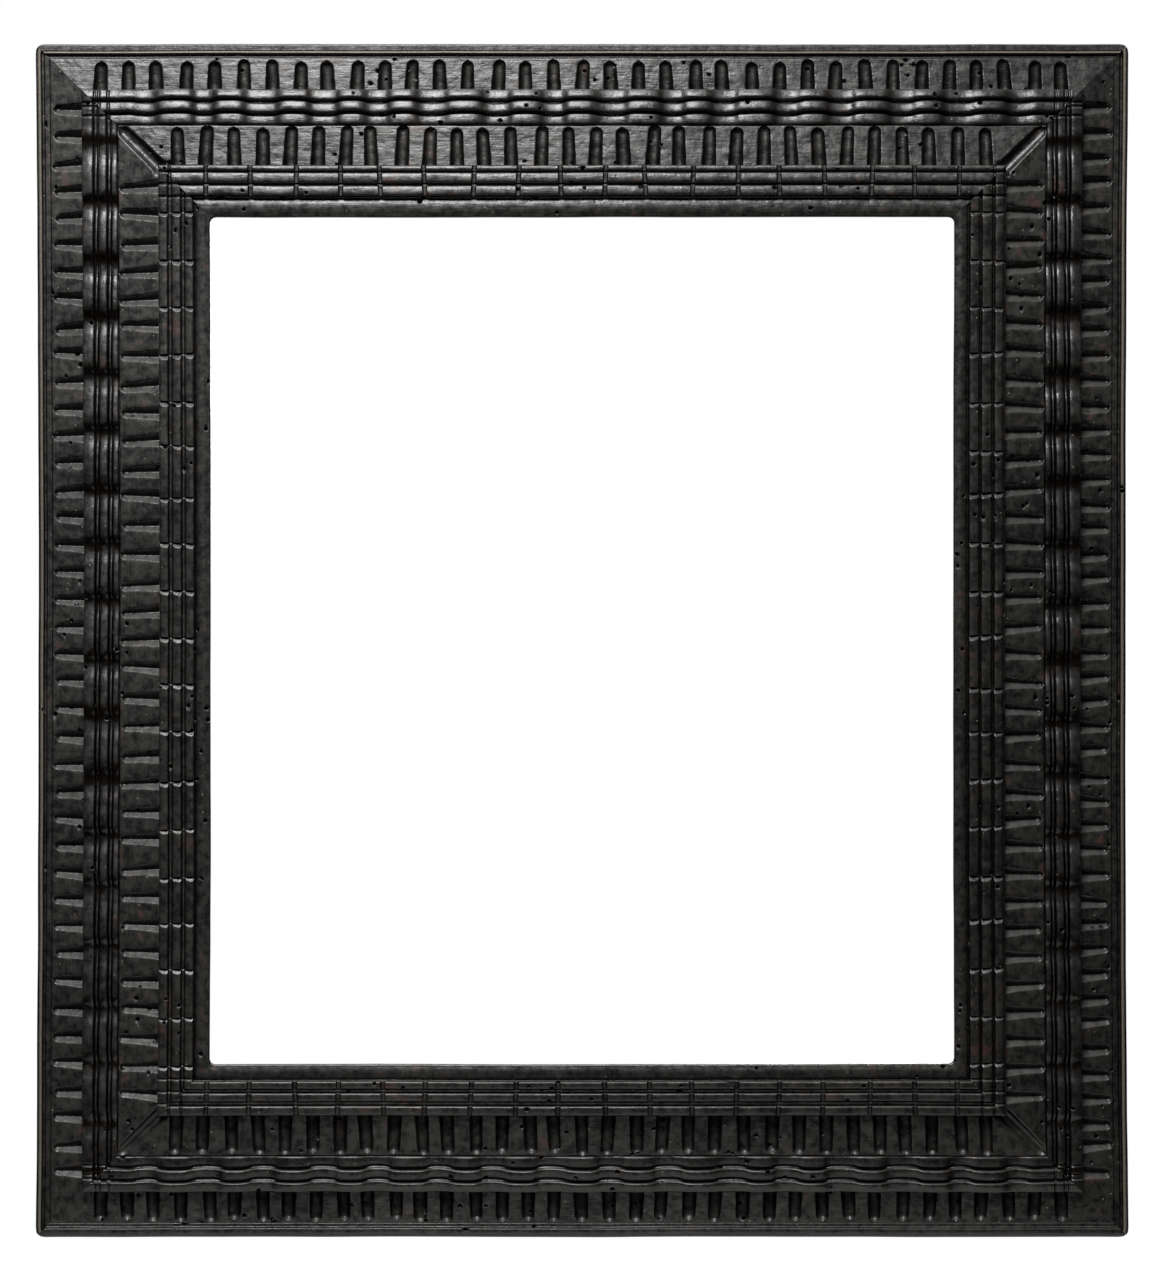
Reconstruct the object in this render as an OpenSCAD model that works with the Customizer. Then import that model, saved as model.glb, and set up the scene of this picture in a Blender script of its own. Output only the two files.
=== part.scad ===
// Renaissance-style picture frame. A softwood back frame, half-lapped and
// pegged, carries five rings of ebonised mouldings, each mitred at the corners.
// X runs to the right, Z up, and the wall is at +Y. The origin is the centre of
// the sight opening, in the plane of the back face.
// From the outer edge inwards: edge moulding, fluted frieze, wave moulding of
// three reeds and two beads, second fluted frieze, and a sight moulding of three
// cut reeds with a bead after the first and the second.

/* [Opening] */
// Width of the sight opening
sight_w = 371; // [240:1:700]
// Height of the sight opening
sight_h = 421; // [240:1:800]
// How far the sight edge laps over the picture
rebate_w = 8; // [5:0.5:11]

/* [Back frame] */
// Thickness of the back frame, front to back
back_t = 20; // [16:0.5:36]
// Diameter of the pegs through the corner laps
peg_d = 7; // [4:0.5:12]
// Play round a peg, a staple leg or a screw in its hole
hole_play = 0.05; // [0.03:0.01:0.1]

/* [Edge moulding] */
// Width of the edge moulding
edge_w = 7; // [6.5:0.1:12]
// Height of the edge moulding above the back frame
edge_h = 4.8; // [4.2:0.1:7]
// Width of the flat at its outer edge
edge_flat_w = 2.1; // [1.6:0.1:2.6]
// Radius of its outer arris
edge_arris_r = 1.2; // [0.6:0.1:1.5]
// Width of its bead
edge_bead_w = 2; // [1.5:0.1:2.2]

/* [Fluted friezes] */
// Width of the outer frieze
outer_frieze_w = 16.5; // [13:0.5:30]
// Width of the inner frieze
inner_frieze_w = 20.5; // [13:0.5:34]
// Height of the outer frieze at its inner edge
outer_frieze_h = 6.4; // [6:0.1:8]
// Height of the inner frieze at its inner edge
inner_frieze_h = 11.4; // [9.5:0.1:12.5]
// Backward slope of both friezes towards the outer edge, in degrees
frieze_slope = 8; // [3:0.5:9]
// Radius of the gouge that cuts the flutes
flute_r = 3.6; // [3:0.1:4.2]
// Depth of a flute at its outer, round end
flute_shallow = 1.6; // [0.8:0.1:2]
// Depth of a flute at its inner end
flute_deep = 2.9; // [2:0.1:3.1]
// Plain margin between the frieze's outer arris and the flutes
flute_margin = 1.2; // [0.8:0.1:3]
// Plain length between a frieze's corner and its first flute
flute_corner = 9.5; // [5:0.5:16]
// Spacing of the outer flutes, top rail
outer_pitch_top = 14.1; // [9:0.1:24]
// Spacing of the outer flutes, right stile
outer_pitch_right = 12.4; // [9:0.1:24]
// Spacing of the outer flutes, bottom rail
outer_pitch_bottom = 13.5; // [9:0.1:24]
// Spacing of the outer flutes, left stile
outer_pitch_left = 13.6; // [9:0.1:24]
// Spacing of the inner flutes, top rail
inner_pitch_top = 13.8; // [9:0.1:24]
// Spacing of the inner flutes, right stile
inner_pitch_right = 13.7; // [9:0.1:24]
// Spacing of the inner flutes, bottom rail
inner_pitch_bottom = 13.4; // [9:0.1:24]
// Spacing of the inner flutes, left stile
inner_pitch_left = 14.2; // [9:0.1:24]

/* [Wave moulding] */
// Height of its highest reed above the back frame
wave_h = 10.6; // [9.6:0.1:11.6]
// How far its inner edge falls below its outer edge
wave_fall = 2.3; // [0.5:0.1:3]
// Width of its first reed
wave_reed_1_w = 6.4; // [4:0.1:9]
// Width of the beads beside the first and second reeds
wave_bead_w = 1.7; // [1.2:0.1:3]
// Width of its second reed
wave_reed_2_w = 4.5; // [3:0.1:7]
// Width of its third reed, on the inner fall
wave_reed_3_w = 3.7; // [2.5:0.1:6]
// Rise of the two broad reeds above the quirks beside them
wave_reed_rise = 1.6; // [0.8:0.1:2]
// Length of one wave
wave_pitch = 29.2; // [16:0.1:60]
// Depth of the waves, crest to trough
wave_depth = 2.4; // [0.8:0.1:2.8]
// Depth of the grooves that cross at the corners
wave_cross_d = 1.2; // [0.5:0.1:1.4]

/* [Sight moulding] */
// Height of its reeds above the back frame
reed_h = 14.8; // [13.6:0.1:18]
// Rise of the reeds above the quirks beside them
reed_rise = 1.5; // [1:0.1:1.8]
// Width of its outer reed
reed_a_w = 4.4; // [3:0.1:7]
// Width of its middle reed
reed_b_w = 3.6; // [2.5:0.1:6]
// Width of its inner reed
reed_c_w = 3.4; // [2.5:0.1:6]
// Width of the low bead after the outer reed
bead_a_w = 1.4; // [1:0.1:2.5]
// Width of the low bead after the middle reed
bead_b_w = 1.1; // [0.8:0.1:2.5]
// Width of the quirk beside each reed and bead
reed_quirk = 0.8; // [0.5:0.1:1.2]
// Width of the plain fillet at the sight edge
fillet_w = 7.6; // [4:0.1:12]
// Height of that fillet above the back frame
fillet_h = 12.2; // [8:0.1:12.6]
// Radius of the sight arris
sight_arris_r = 1.2; // [0.5:0.1:2]
// Width of the cuts across the reeds
cut_w = 2.4; // [1.4:0.1:3]
// Depth of the cuts across the reeds
cut_d = 1.2; // [0.5:0.1:1.3]
// Spacing of those cuts along the top and bottom rails
cut_pitch_rail = 21.6; // [10:0.1:50]
// Spacing of those cuts along the stiles
cut_pitch_stile = 23.4; // [10:0.1:50]
// Plain length between the corner and the first cut
cut_corner = 6.5; // [4:0.5:14]

/* [Hanging ring] */
// Outer diameter of the ring
ring_d = 29; // [20:1:44]
// Diameter of the ring's wire
ring_wire_d = 3; // [2:0.1:4]
// Diameter of the staple's wire
staple_wire_d = 2.5; // [1.6:0.1:3]
// Length of the staple's legs in the wood
staple_leg = 13; // [6:0.5:15]
// Distance of the staple below the top edge
staple_drop = 35; // [24:1:50]
// Play between the ring, its staple and the back frame
ring_play = 0.35; // [0.3:0.05:0.6]

/* [Turn buttons] */
// Length of a turn button
button_l = 36; // [30:1:50]
// Width of a turn button
button_w = 12; // [9:0.5:18]
// Thickness of a turn button
button_t = 4; // [2.5:0.5:8]
// How far a closed button stays back from the sight edge
button_hide = 1; // [0.5:0.5:3]
// Distance of the buttons above and below the middle
button_z = 112; // [30:1:113]
// Play under and over a turn button
button_play = 0.3; // [0.2:0.05:0.6]
// Diameter of a button's screw
screw_d = 3.5; // [2.5:0.1:5]
// Length of the screw in the stile
screw_l = 13; // [6:0.5:15]
// Diameter of the screw's head
screw_head_d = 7.4; // [6:0.1:8.5]
// Height of the screw's head
screw_head_h = 2.2; // [1.4:0.1:3.5]

/* [Hidden] */
SIDES = ["top", "right", "bottom", "left"];
RINGS = ["edge_moulding", "outer_frieze", "wave_moulding", "inner_frieze", "sight_moulding"];
$fn = 48;
past = 1;

wave_w = wave_reed_1_w + wave_reed_2_w + wave_reed_3_w + 2 * wave_bead_w;
reeds_w = reed_a_w + reed_b_w + reed_c_w + bead_a_w + bead_b_w + 5 * reed_quirk;
reed_a_u = reed_quirk / 2;
bead_a_u = reed_a_u + reed_a_w + reed_quirk;
reed_b_u = bead_a_u + bead_a_w + reed_quirk;
bead_b_u = reed_b_u + reed_b_w + reed_quirk;
reed_c_u = bead_b_u + bead_b_w + reed_quirk;
// The beads lie under the reach of the cuts
sight_bead_rise = reed_rise * 0.15;
sight_moulding_w = reeds_w + fillet_w;
// Distance of each ring's outer side from the outer edge
outer_frieze_u = edge_w;
wave_u = outer_frieze_u + outer_frieze_w;
inner_frieze_u = wave_u + wave_w;
sight_u = inner_frieze_u + inner_frieze_w;
rail_w = sight_u + sight_moulding_w;
frame_w = sight_w + 2 * rail_w;
frame_h = sight_h + 2 * rail_w;
back_w = rail_w - rebate_w;
lap_t = back_t / 2;
outer_pitch = [outer_pitch_top, outer_pitch_right, outer_pitch_bottom, outer_pitch_left];
inner_pitch = [inner_pitch_top, inner_pitch_right, inner_pitch_bottom, inner_pitch_left];

ring_r = (ring_d - ring_wire_d) / 2;
ring_y = ring_wire_d / 2 + ring_play;
ring_z = frame_h / 2 - staple_drop;
staple_r = ring_wire_d / 2 + ring_play + staple_wire_d / 2;
button_x = sight_w / 2 + button_hide + button_l / 2;

// Half the length, and distance from the middle, of the outer edge of side k
function half_length(k) = (k % 2 == 0 ? frame_w : frame_h) / 2;
function reach(k) = (k % 2 == 0 ? frame_h : frame_w) / 2;
function arc(centre, r, from, to, steps) = [
    for (i = [0:steps])
        let (a = from + (to - from) * i / steps)
        centre + r * [cos(a), sin(a)]
];
// Places of a row of cuts, spread evenly at about the given spacing
function row(run, pitch) =
    let (gaps = max(1, round(run / pitch)))
    [for (i = [0:gaps]) run * (i / gaps - 0.5)];

// Each side is drawn as the top one, with its outer edge upwards, and turned
module on_side(k) {
    rotate([0, 90 * k, 0]) children();
}

// A profile of width and height, run along side k from u inwards and mitred
module mitred_strip(k, u) {
    intersection() {
        translate([0, -back_t, reach(k) - u])
            rotate([0, 90, 180])
                linear_extrude(2 * (half_length(k) + past), center = true)
                    children();
        mitre_prism(k);
    }
}

// What lies between the two mitres of side k
module mitre_prism(k) {
    inner = reach(k) - rail_w - past;
    half = half_length(k) - rail_w - past;
    grow = rail_w + 2 * past;
    rotate([90, 0, 0])
        linear_extrude(4 * back_t)
            polygon([
                [-half, inner], [half, inner],
                [half + grow, inner + grow], [-half - grow, inner + grow]
            ]);
}

// The round back of a reed: an arc that rises above a chord of width w, on a
// root that reaches into the ground under it
module reed_back(u, w, ground, rise) {
    r = (w * w / 4 + rise * rise) / (2 * rise);
    root = rise / 2;
    intersection() {
        translate([u + w / 2, ground + rise - r]) circle(r);
        translate([u, ground - root]) square([w, rise + root + past]);
    }
}

// Back frame: rails run through in front, stiles run through behind
module back_rail(k) {
    difference() {
        translate([-frame_w / 2, -back_t, frame_h / 2 - back_w])
            cube([frame_w, back_t, back_w]);
        for (side = [-1, 1])
            translate([side * frame_w / 2, 0, frame_h / 2 - back_w / 2])
                cube([2 * back_w, 2 * lap_t, 3 * back_w], center = true);
        on_side(-k) peg_holes();
        if (k == 0) staple_legs(hole_play);
    }
}

module back_stile(k) {
    difference() {
        translate([-frame_h / 2, -back_t, frame_w / 2 - back_w])
            cube([frame_h, back_t, back_w]);
        for (side = [-1, 1])
            translate([side * frame_h / 2, -back_t, frame_w / 2 - back_w / 2])
                cube([2 * back_w, 2 * lap_t, 3 * back_w], center = true);
        on_side(-k) peg_holes();
        on_side(-k) screw_shanks(hole_play);
    }
}

module pegs(play, over) {
    for (x = [-1, 1], z = [-1, 1])
        translate([x * (frame_w - back_w) / 2, over, z * (frame_h - back_w) / 2])
            rotate([90, 0, 0]) cylinder(d = peg_d + 2 * play, h = back_t + 2 * over);
}

module peg_holes() {
    pegs(hole_play, past);
}

module corner_pegs() {
    color("#8a6a45") pegs(0, 0);
}

// Edge moulding: a flat with a round arris, a bead and a hollow
module edge_profile() {
    ground = edge_h - 1.6;
    bead_u = edge_flat_w + 0.6;
    hollow_u = (bead_u + edge_bead_w + edge_w) / 2;
    difference() {
        union() {
            square([edge_w, ground]);
            polygon(concat(
                [[0, 0], [edge_flat_w, 0], [edge_flat_w, edge_h]],
                arc([edge_arris_r, edge_h - edge_arris_r], edge_arris_r, 90, 180, 6)
            ));
            reed_back(bead_u, edge_bead_w, ground, edge_bead_w * 0.6);
        }
        translate([hollow_u, ground + 0.5]) circle(1.1);
    }
}

module edge_moulding(k) {
    color("#3a3937") on_side(k) mitred_strip(k, 0) edge_profile();
}

// Friezes: a board that slopes back to its outer edge, cut with gouge flutes
function frieze_fall(u, w) = (w - u) * tan(frieze_slope);

// A gouge cut: a round-ended rod that runs along +Z from its round end
module gouge(length) {
    rotate_extrude() {
        intersection() {
            circle(flute_r);
            translate([0, -flute_r]) square(flute_r);
        }
        square([flute_r, length]);
    }
}

// One flute across a frieze of width w and inner height h, inwards along -Z
module flute(w, h, stretch) {
    half_chord = sqrt(2 * flute_r * flute_shallow - pow(flute_shallow, 2));
    first = flute_margin + half_chord;
    outer_axis = h - frieze_fall(first, w) + flute_r - flute_shallow;
    inner_axis = h + flute_r - flute_deep;
    rise = atan2(inner_axis - outer_axis, (w - first) * stretch);
    translate([0, -back_t - outer_axis, -first * stretch])
        rotate([180 - rise, 0, 0])
            gouge(2 * w * stretch);
}

module frieze(k, u, w, h, pitch, corner_flute) {
    color("#464543") on_side(k) difference() {
        mitred_strip(k, u)
            polygon([[0, 0], [w, 0], [w, h], [0, h - frieze_fall(0, w)]]);
        run = 2 * (half_length(k) - u - w - flute_corner);
        for (x = row(run, pitch))
            translate([x, 0, reach(k) - u]) flute(w, h, 1);
        if (corner_flute)
            for (side = [-1, 1])
                translate([side * (half_length(k) - u), 0, reach(k) - u])
                    rotate([0, side * 45, 0]) flute(w, h, sqrt(2));
    }
}

module outer_frieze(k) {
    frieze(k, outer_frieze_u, outer_frieze_w, outer_frieze_h, outer_pitch[k], false);
}

module inner_frieze(k) {
    frieze(k, inner_frieze_u, inner_frieze_w, inner_frieze_h, inner_pitch[k], true);
}

// Wave moulding: three reeds and two beads that rise and fall together in even
// waves. At the corners the waves die out and the quirks of both sides cross.
wave_edges = [
    0, wave_reed_1_w, wave_reed_1_w + wave_bead_w,
    wave_w - wave_reed_3_w - wave_bead_w, wave_w - wave_reed_3_w, wave_w
];
// For each reed: its rise, and where its back has points, as shares of its width
wave_backs = [
    [wave_reed_rise, [0.22, 0.78]], [wave_reed_rise * 0.5, [0.5]],
    [wave_reed_rise, [0.25, 0.75]], [wave_reed_rise * 0.5, [0.5]],
    [wave_reed_rise * 0.6, [0.45]]
];
waves_per_ring = 6;

function wave_ground(u) = wave_h - wave_reed_rise - wave_fall * pow(u / wave_w, 2);
// The reeded profile: distance inwards, height, and 1 at a quirk
wave_top = [
    for (n = [0:4]) each concat(
        [[wave_edges[n], wave_ground(wave_edges[n]), n > 0 ? 1 : 0]],
        [for (t = wave_backs[n][1])
            let (u = wave_edges[n] + t * (wave_edges[n + 1] - wave_edges[n]))
            [u, wave_ground(u) + wave_backs[n][0], 0]]
    ),
    [wave_w, wave_ground(wave_w), 0]
];
wave_points = len(wave_top);

module wave_moulding(k) {
    half = half_length(k) - wave_u;
    span = half - wave_w;
    waves = max(1, round(2 * span / wave_pitch));
    pitch = 2 * span / waves;
    steps = waves_per_ring * waves;
    rings = 2 * wave_points + steps - 1;
    last = wave_points - 1;
    function ring_x(r) =
        r < wave_points ? wave_top[r][0] - half :
        r > rings - 1 - wave_points ? half - wave_top[rings - 1 - r][0] :
        (r - last) / steps * 2 * span - span;
    function ripple(x) =
        wave_depth / 2 * cos(360 * x / pitch) * min(1, 2 * (span - abs(x)) / pitch);
    function height(r, i) =
        let (point = wave_top[i], corner = min(r, rings - 1 - r, wave_points))
        corner == wave_points ? point[1] + ripple(ring_x(r)) :
        point[1] - wave_cross_d * wave_top[corner][2] * (1 - point[2]);
    // A ring in a corner ends at the mitre, and shares the mitre's points past it
    function end_of(r) = min(r, rings - 1 - r, last);
    function ring_of(r, i) = r < i ? i : rings - 1 - r < i ? rings - 1 - i : r;
    function id(r, i) = ring_of(r, i) * wave_points + i;
    // A ring's two feet, under its outer point and its end, which meet at the tips
    function outer_foot(r) = rings * wave_points + r;
    function inner_foot(r) = outer_foot(r) + (end_of(r) > 0 ? rings : 0);
    // The two triangles of a cell, without those that the mitre closes up
    function cell(a, b, c, d) = [
        for (t = [[a, b, c], [a, c, d]])
            if (t[0] != t[1] && t[1] != t[2] && t[2] != t[0]) t
    ];
    function point_at(x, h, u) = [x, -back_t - h, reach(k) - wave_u - u];
    tops = [
        for (r = [0:rings - 1], i = [0:last]) point_at(ring_x(r), height(r, i), wave_top[i][0])
    ];
    feet = [
        for (inner = [0, 1], r = [0:rings - 1])
            point_at(ring_x(r), 0, inner * wave_top[end_of(r)][0])
    ];
    reeds = [
        for (r = [0:rings - 2], i = [0:last - 1])
            each cell(id(r, i), id(r + 1, i), id(r + 1, i + 1), id(r, i + 1))
    ];
    walls = [
        for (r = [0:rings - 2])
            let (n = r + 1, r_end = id(r, end_of(r)), n_end = id(n, end_of(n)))
            each concat(
                cell(outer_foot(r), outer_foot(n), id(n, 0), id(r, 0)),
                cell(inner_foot(r), inner_foot(n), outer_foot(n), outer_foot(r)),
                cell(r_end, n_end, inner_foot(n), inner_foot(r))
            )
    ];
    color("#383735") on_side(k)
        polyhedron(concat(tops, feet), concat(reeds, walls), convexity = 10);
}

// Sight moulding: three reeds, cut across, beside a plain fillet that laps over
// the picture. The low beads between the reeds run on under the cuts.
module sight_profile() {
    ground = reed_h - reed_rise;
    arris = arc([sight_moulding_w - sight_arris_r, fillet_h - sight_arris_r],
        sight_arris_r, 0, 90, 6);
    polygon(concat(
        [[0, 0], [sight_moulding_w, 0]],
        arris,
        [[reeds_w, fillet_h], [reeds_w, ground], [0, ground]]
    ));
    reed_back(reed_a_u, reed_a_w, ground, reed_rise);
    reed_back(reed_b_u, reed_b_w, ground, reed_rise);
    reed_back(reed_c_u, reed_c_w, ground, reed_rise);
    reed_back(bead_a_u, bead_a_w, ground, sight_bead_rise);
    reed_back(bead_b_u, bead_b_w, ground, sight_bead_rise);
}

// A round cut across the reeds, cut_w wide and cut_d deep
module cross_cut() {
    r = (cut_w * cut_w / 4 + cut_d * cut_d) / (2 * cut_d);
    translate([0, -back_t - reed_h + cut_d - r, past])
        rotate([180, 0, 0]) cylinder(r = r, h = reeds_w + past);
}

module sight_moulding(k) {
    half = half_length(k) - sight_u;
    run = 2 * (half - reeds_w - cut_corner);
    pitch = k % 2 == 0 ? cut_pitch_rail : cut_pitch_stile;
    corner_cuts = [bead_a_u + bead_a_w / 2, bead_b_u + bead_b_w / 2, reeds_w];
    color("#40403d") on_side(k) difference() {
        mitred_strip(k, sight_u) sight_profile();
        translate([0, 0, reach(k) - sight_u]) {
            for (x = row(run, pitch)) translate([x, 0, 0]) cross_cut();
            for (side = [-1, 1], s = corner_cuts)
                translate([side * (half - s), 0, 0]) cross_cut();
        }
    }
}

// Hanging ring, free to swing in a wire staple driven into the top rail
module staple_legs(play) {
    for (side = [-1, 1])
        translate([0, ring_y, ring_z + side * staple_r])
            rotate([90, 0, 0])
                cylinder(d = staple_wire_d + 2 * play, h = ring_y + staple_leg + play);
}

module ring_staple() {
    color("#4a4540") {
        staple_legs(0);
        translate([0, ring_y, ring_z])
            rotate([0, 90, 0]) rotate_extrude(angle = 180)
                translate([staple_r, 0]) circle(d = staple_wire_d);
    }
}

module hanging_ring() {
    color("#4a4540")
        translate([0, ring_y, ring_z - ring_r])
            rotate([90, 0, 0]) rotate_extrude()
                translate([ring_r, 0]) circle(d = ring_wire_d);
}

// Turn buttons, parked along the stiles, each on its own screw
module screw_places() {
    for (x = [-1, 1], z = [-1, 1]) translate([x * button_x, 0, z * button_z]) children();
}

module screw_shanks(play) {
    screw_places()
        rotate([90, 0, 0])
            cylinder(d = screw_d + 2 * play, h = screw_l + play);
}

module button_screws() {
    neck = button_t + 2 * button_play;
    dome_r = (pow(screw_head_d / 2, 2) + pow(screw_head_h, 2)) / (2 * screw_head_h) + 0.4;
    slot_w = 1;
    slot_d = 1;
    color("#575049") screw_places() difference() {
        union() {
            translate([0, neck, 0])
                rotate([90, 0, 0]) cylinder(d = screw_d, h = neck + screw_l);
            intersection() {
                translate([0, neck + screw_head_h, 0])
                    rotate([90, 0, 0]) cylinder(d = screw_head_d, h = screw_head_h);
                translate([0, neck + screw_head_h - dome_r, 0]) sphere(dome_r);
            }
        }
        translate([-screw_head_d, neck + screw_head_h - slot_d, -slot_w / 2])
            cube([2 * screw_head_d, 2 * slot_d, slot_w]);
    }
}

module turn_button(x, z) {
    color("#9a7b50")
        translate([x * button_x, button_play + button_t, z * button_z])
            rotate([90, 0, 0]) linear_extrude(button_t) difference() {
                intersection() {
                    square([button_w, button_l], center = true);
                    circle(d = button_l);
                }
                circle(d = screw_d + 2 * hole_play);
            }
}

module back_rail_top() { color("#b08d5f") back_rail(0); }
module back_rail_bottom() { color("#b08d5f") on_side(2) back_rail(2); }
module back_stile_right() { color("#b08d5f") on_side(1) back_stile(1); }
module back_stile_left() { color("#b08d5f") on_side(3) back_stile(3); }

back_rail_top();
back_rail_bottom();
back_stile_left();
back_stile_right();
corner_pegs();
for (k = [0:3]) {
    edge_moulding(k);
    outer_frieze(k);
    wave_moulding(k);
    inner_frieze(k);
    sight_moulding(k);
}
ring_staple();
hanging_ring();
button_screws();
turn_button(-1, 1);  // turn_button_upper_left
turn_button(-1, -1);  // turn_button_lower_left
turn_button(1, 1);  // turn_button_upper_right
turn_button(1, -1);  // turn_button_lower_right
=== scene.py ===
# A renaissance-style picture frame: five rings of ebonised mouldings, cut and
# carved by hand, on a softwood back frame with a hanging ring and turn buttons.
import math

import bpy
import numpy as np
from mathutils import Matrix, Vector, noise


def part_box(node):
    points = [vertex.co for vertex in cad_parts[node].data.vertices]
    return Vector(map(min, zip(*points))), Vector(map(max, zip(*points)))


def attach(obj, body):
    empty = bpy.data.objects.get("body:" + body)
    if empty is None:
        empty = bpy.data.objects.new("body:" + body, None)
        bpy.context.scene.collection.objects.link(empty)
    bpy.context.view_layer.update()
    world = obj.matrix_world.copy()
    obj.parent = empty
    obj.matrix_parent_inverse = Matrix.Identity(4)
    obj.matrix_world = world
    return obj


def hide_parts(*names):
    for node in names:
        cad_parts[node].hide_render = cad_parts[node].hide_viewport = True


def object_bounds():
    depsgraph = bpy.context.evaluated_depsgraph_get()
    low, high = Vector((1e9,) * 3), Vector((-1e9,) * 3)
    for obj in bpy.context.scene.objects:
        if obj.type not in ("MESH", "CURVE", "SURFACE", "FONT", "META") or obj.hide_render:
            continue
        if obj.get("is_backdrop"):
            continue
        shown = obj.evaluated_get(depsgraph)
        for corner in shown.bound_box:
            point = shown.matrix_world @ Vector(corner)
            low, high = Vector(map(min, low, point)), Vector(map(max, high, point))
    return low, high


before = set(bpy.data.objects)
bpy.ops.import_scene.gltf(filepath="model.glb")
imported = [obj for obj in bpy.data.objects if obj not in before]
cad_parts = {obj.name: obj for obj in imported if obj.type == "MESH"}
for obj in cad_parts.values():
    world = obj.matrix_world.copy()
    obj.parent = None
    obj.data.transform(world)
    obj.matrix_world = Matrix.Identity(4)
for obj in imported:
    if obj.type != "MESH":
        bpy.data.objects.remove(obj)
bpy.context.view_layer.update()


# The studio. The frame hangs square to the camera under a softbox close above it,
# so the top rail is brightest and each cut shades on its upper side; a second lamp
# lights the back. The ground is white, and the paper floor lies below the view.
scene = bpy.context.scene
scene.view_settings.view_transform = "Standard"

# The scale is the photograph's at the face of the edge moulding
face_y = -0.0248
camera_distance = 1.6
view_centre_z = 0.0003
photo_height_px = 1280
photo_px_per_m = 2006
sensor_mm = 36
camera = bpy.data.objects.new("camera", bpy.data.cameras.new("camera"))
camera.location = (0.0, face_y - camera_distance, view_centre_z)
camera.rotation_euler = (math.radians(90), 0, 0)
camera.data.sensor_width = sensor_mm
camera.data.lens = sensor_mm * photo_px_per_m * camera_distance / photo_height_px
scene.collection.objects.link(camera)
scene.camera = camera

PREFIXES = ("ShaderNode", "GeometryNode", "FunctionNode", "Node")
SIGNS = {"+": "ADD", "-": "SUBTRACT", "*": "MULTIPLY", "/": "DIVIDE", "<": "LESS_THAN",
         ">": "GREATER_THAN"}


def add(tree, kind, *inputs, **settings):
    """Adds a node with its settings and inputs, and gives its first output.

    A kind is the name of the node's type without its prefix, such as Math. None
    leaves an input as it is. A tuple with a word or a sign in it, such as
    (a, "+", b) or ("SQRT", a), is arithmetic, and becomes Math nodes.
    """
    if isinstance(kind, tuple):
        sign = next(part for part in kind if isinstance(part, str))
        inputs = [part for part in kind if part is not sign]
        kind, settings = "Math", {"operation": SIGNS.get(sign, sign)}
    names = (start + kind for start in PREFIXES)
    node = tree.nodes.new(next(name for name in names if hasattr(bpy.types, name)))
    for name, value in settings.items():
        setattr(node, name, value)
    for socket, value in zip([s for s in node.inputs if s.enabled], inputs):
        if isinstance(value, tuple) and any(isinstance(part, str) for part in value):
            value = add(tree, value)
        if isinstance(value, bpy.types.NodeSocket):
            tree.links.new(value, socket)
        elif value is not None:
            socket.default_value = value
    return next((s for s in node.outputs if s.enabled), None)


def srgb(code):
    """The linear colour of an sRGB hex code, with alpha."""
    parts = [int(code[i:i + 2], 16) / 255 for i in (1, 3, 5)]
    return [p / 12.92 if p < 0.04045 else ((p + 0.055) / 1.055) ** 2.4 for p in parts] + [1.0]


world = bpy.data.worlds.new("studio")
scene.world = world
world.use_nodes = True
tree = world.node_tree
tree.nodes.clear()
path = add(tree, "LightPath").node.outputs
direction = add(tree, "SeparateXYZ", add(tree, "TexCoord").node.outputs["Generated"]).node.outputs
# A reflection sees the white ground only where it goes on past the frame
behind = add(tree, "MapRange", direction["Y"], -0.1, 0.3, 0.0, 1.0)
ground = add(tree, (path["Is Camera Ray"], "MAXIMUM",
                    ((path["Is Glossy Ray"], "MAXIMUM", path["Is Transmission Ray"]), "*", behind)))
# The room itself is dim, and lighter towards its ceiling
ceiling = 0.28
room = add(tree, "MapRange", direction["Z"], 0.05, 0.9, 0.0, ceiling)
light = add(tree, "Mix", ground, room, 1.0)
add(tree, "OutputWorld", add(tree, "Background", srgb("#ffffff"), light))


def softbox(name, place, aim, width, height, watts):
    """A rectangular lamp at a place, facing a point."""
    lamp = bpy.data.objects.new(name, bpy.data.lights.new(name, "AREA"))
    lamp.data.shape = "RECTANGLE"
    lamp.data.size, lamp.data.size_y = width, height
    lamp.data.energy = watts
    lamp.location = place
    lamp.rotation_euler = (Vector(aim) - Vector(place)).to_track_quat("-Z", "Y").to_euler()
    scene.collection.objects.link(lamp)


softbox("softbox_above", (-0.22, -0.95, 1.1), (0, 0, 0), 0.6, 0.4, 21.0)
softbox("softbox_behind", (0.5, 1.4, 0.55), (0, 0, 0), 0.8, 0.8, 32.0)

floor_r, floor_z, floor_corners = 0.4, -0.5, 128
turns = [math.tau * i / floor_corners for i in range(floor_corners)]
floor_mesh = bpy.data.meshes.new("floor")
floor_mesh.from_pydata([(floor_r * math.cos(a), floor_r * math.sin(a), floor_z) for a in turns], [],
                       [range(floor_corners)])
paper = bpy.data.materials.new("white paper floor")
paper.use_nodes = True
paper.node_tree.nodes["Principled BSDF"].inputs["Base Color"].default_value = srgb("#e9e8e5")
paper.node_tree.nodes["Principled BSDF"].inputs["Roughness"].default_value = 0.9
floor_mesh.materials.append(paper)
floor = bpy.data.objects.new("floor", floor_mesh)
scene.collection.objects.link(floor)
floor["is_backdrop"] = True


# Edge moulding: a small flat with a round arris, a bead and a hollow. Pearwood,
# planed in one length, stained black and waxed, mitred and glued to the back frame.
def blank(name):
    """A new material with an empty tree, and the tree."""
    material = bpy.data.materials.new(name)
    material.use_nodes = True
    material.node_tree.nodes.clear()
    return material, material.node_tree


def stored(tree, name, output="Fac"):
    """What the carving has stored on the mesh under a name."""
    return add(tree, "Attribute", attribute_name=name).node.outputs[output]


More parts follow.
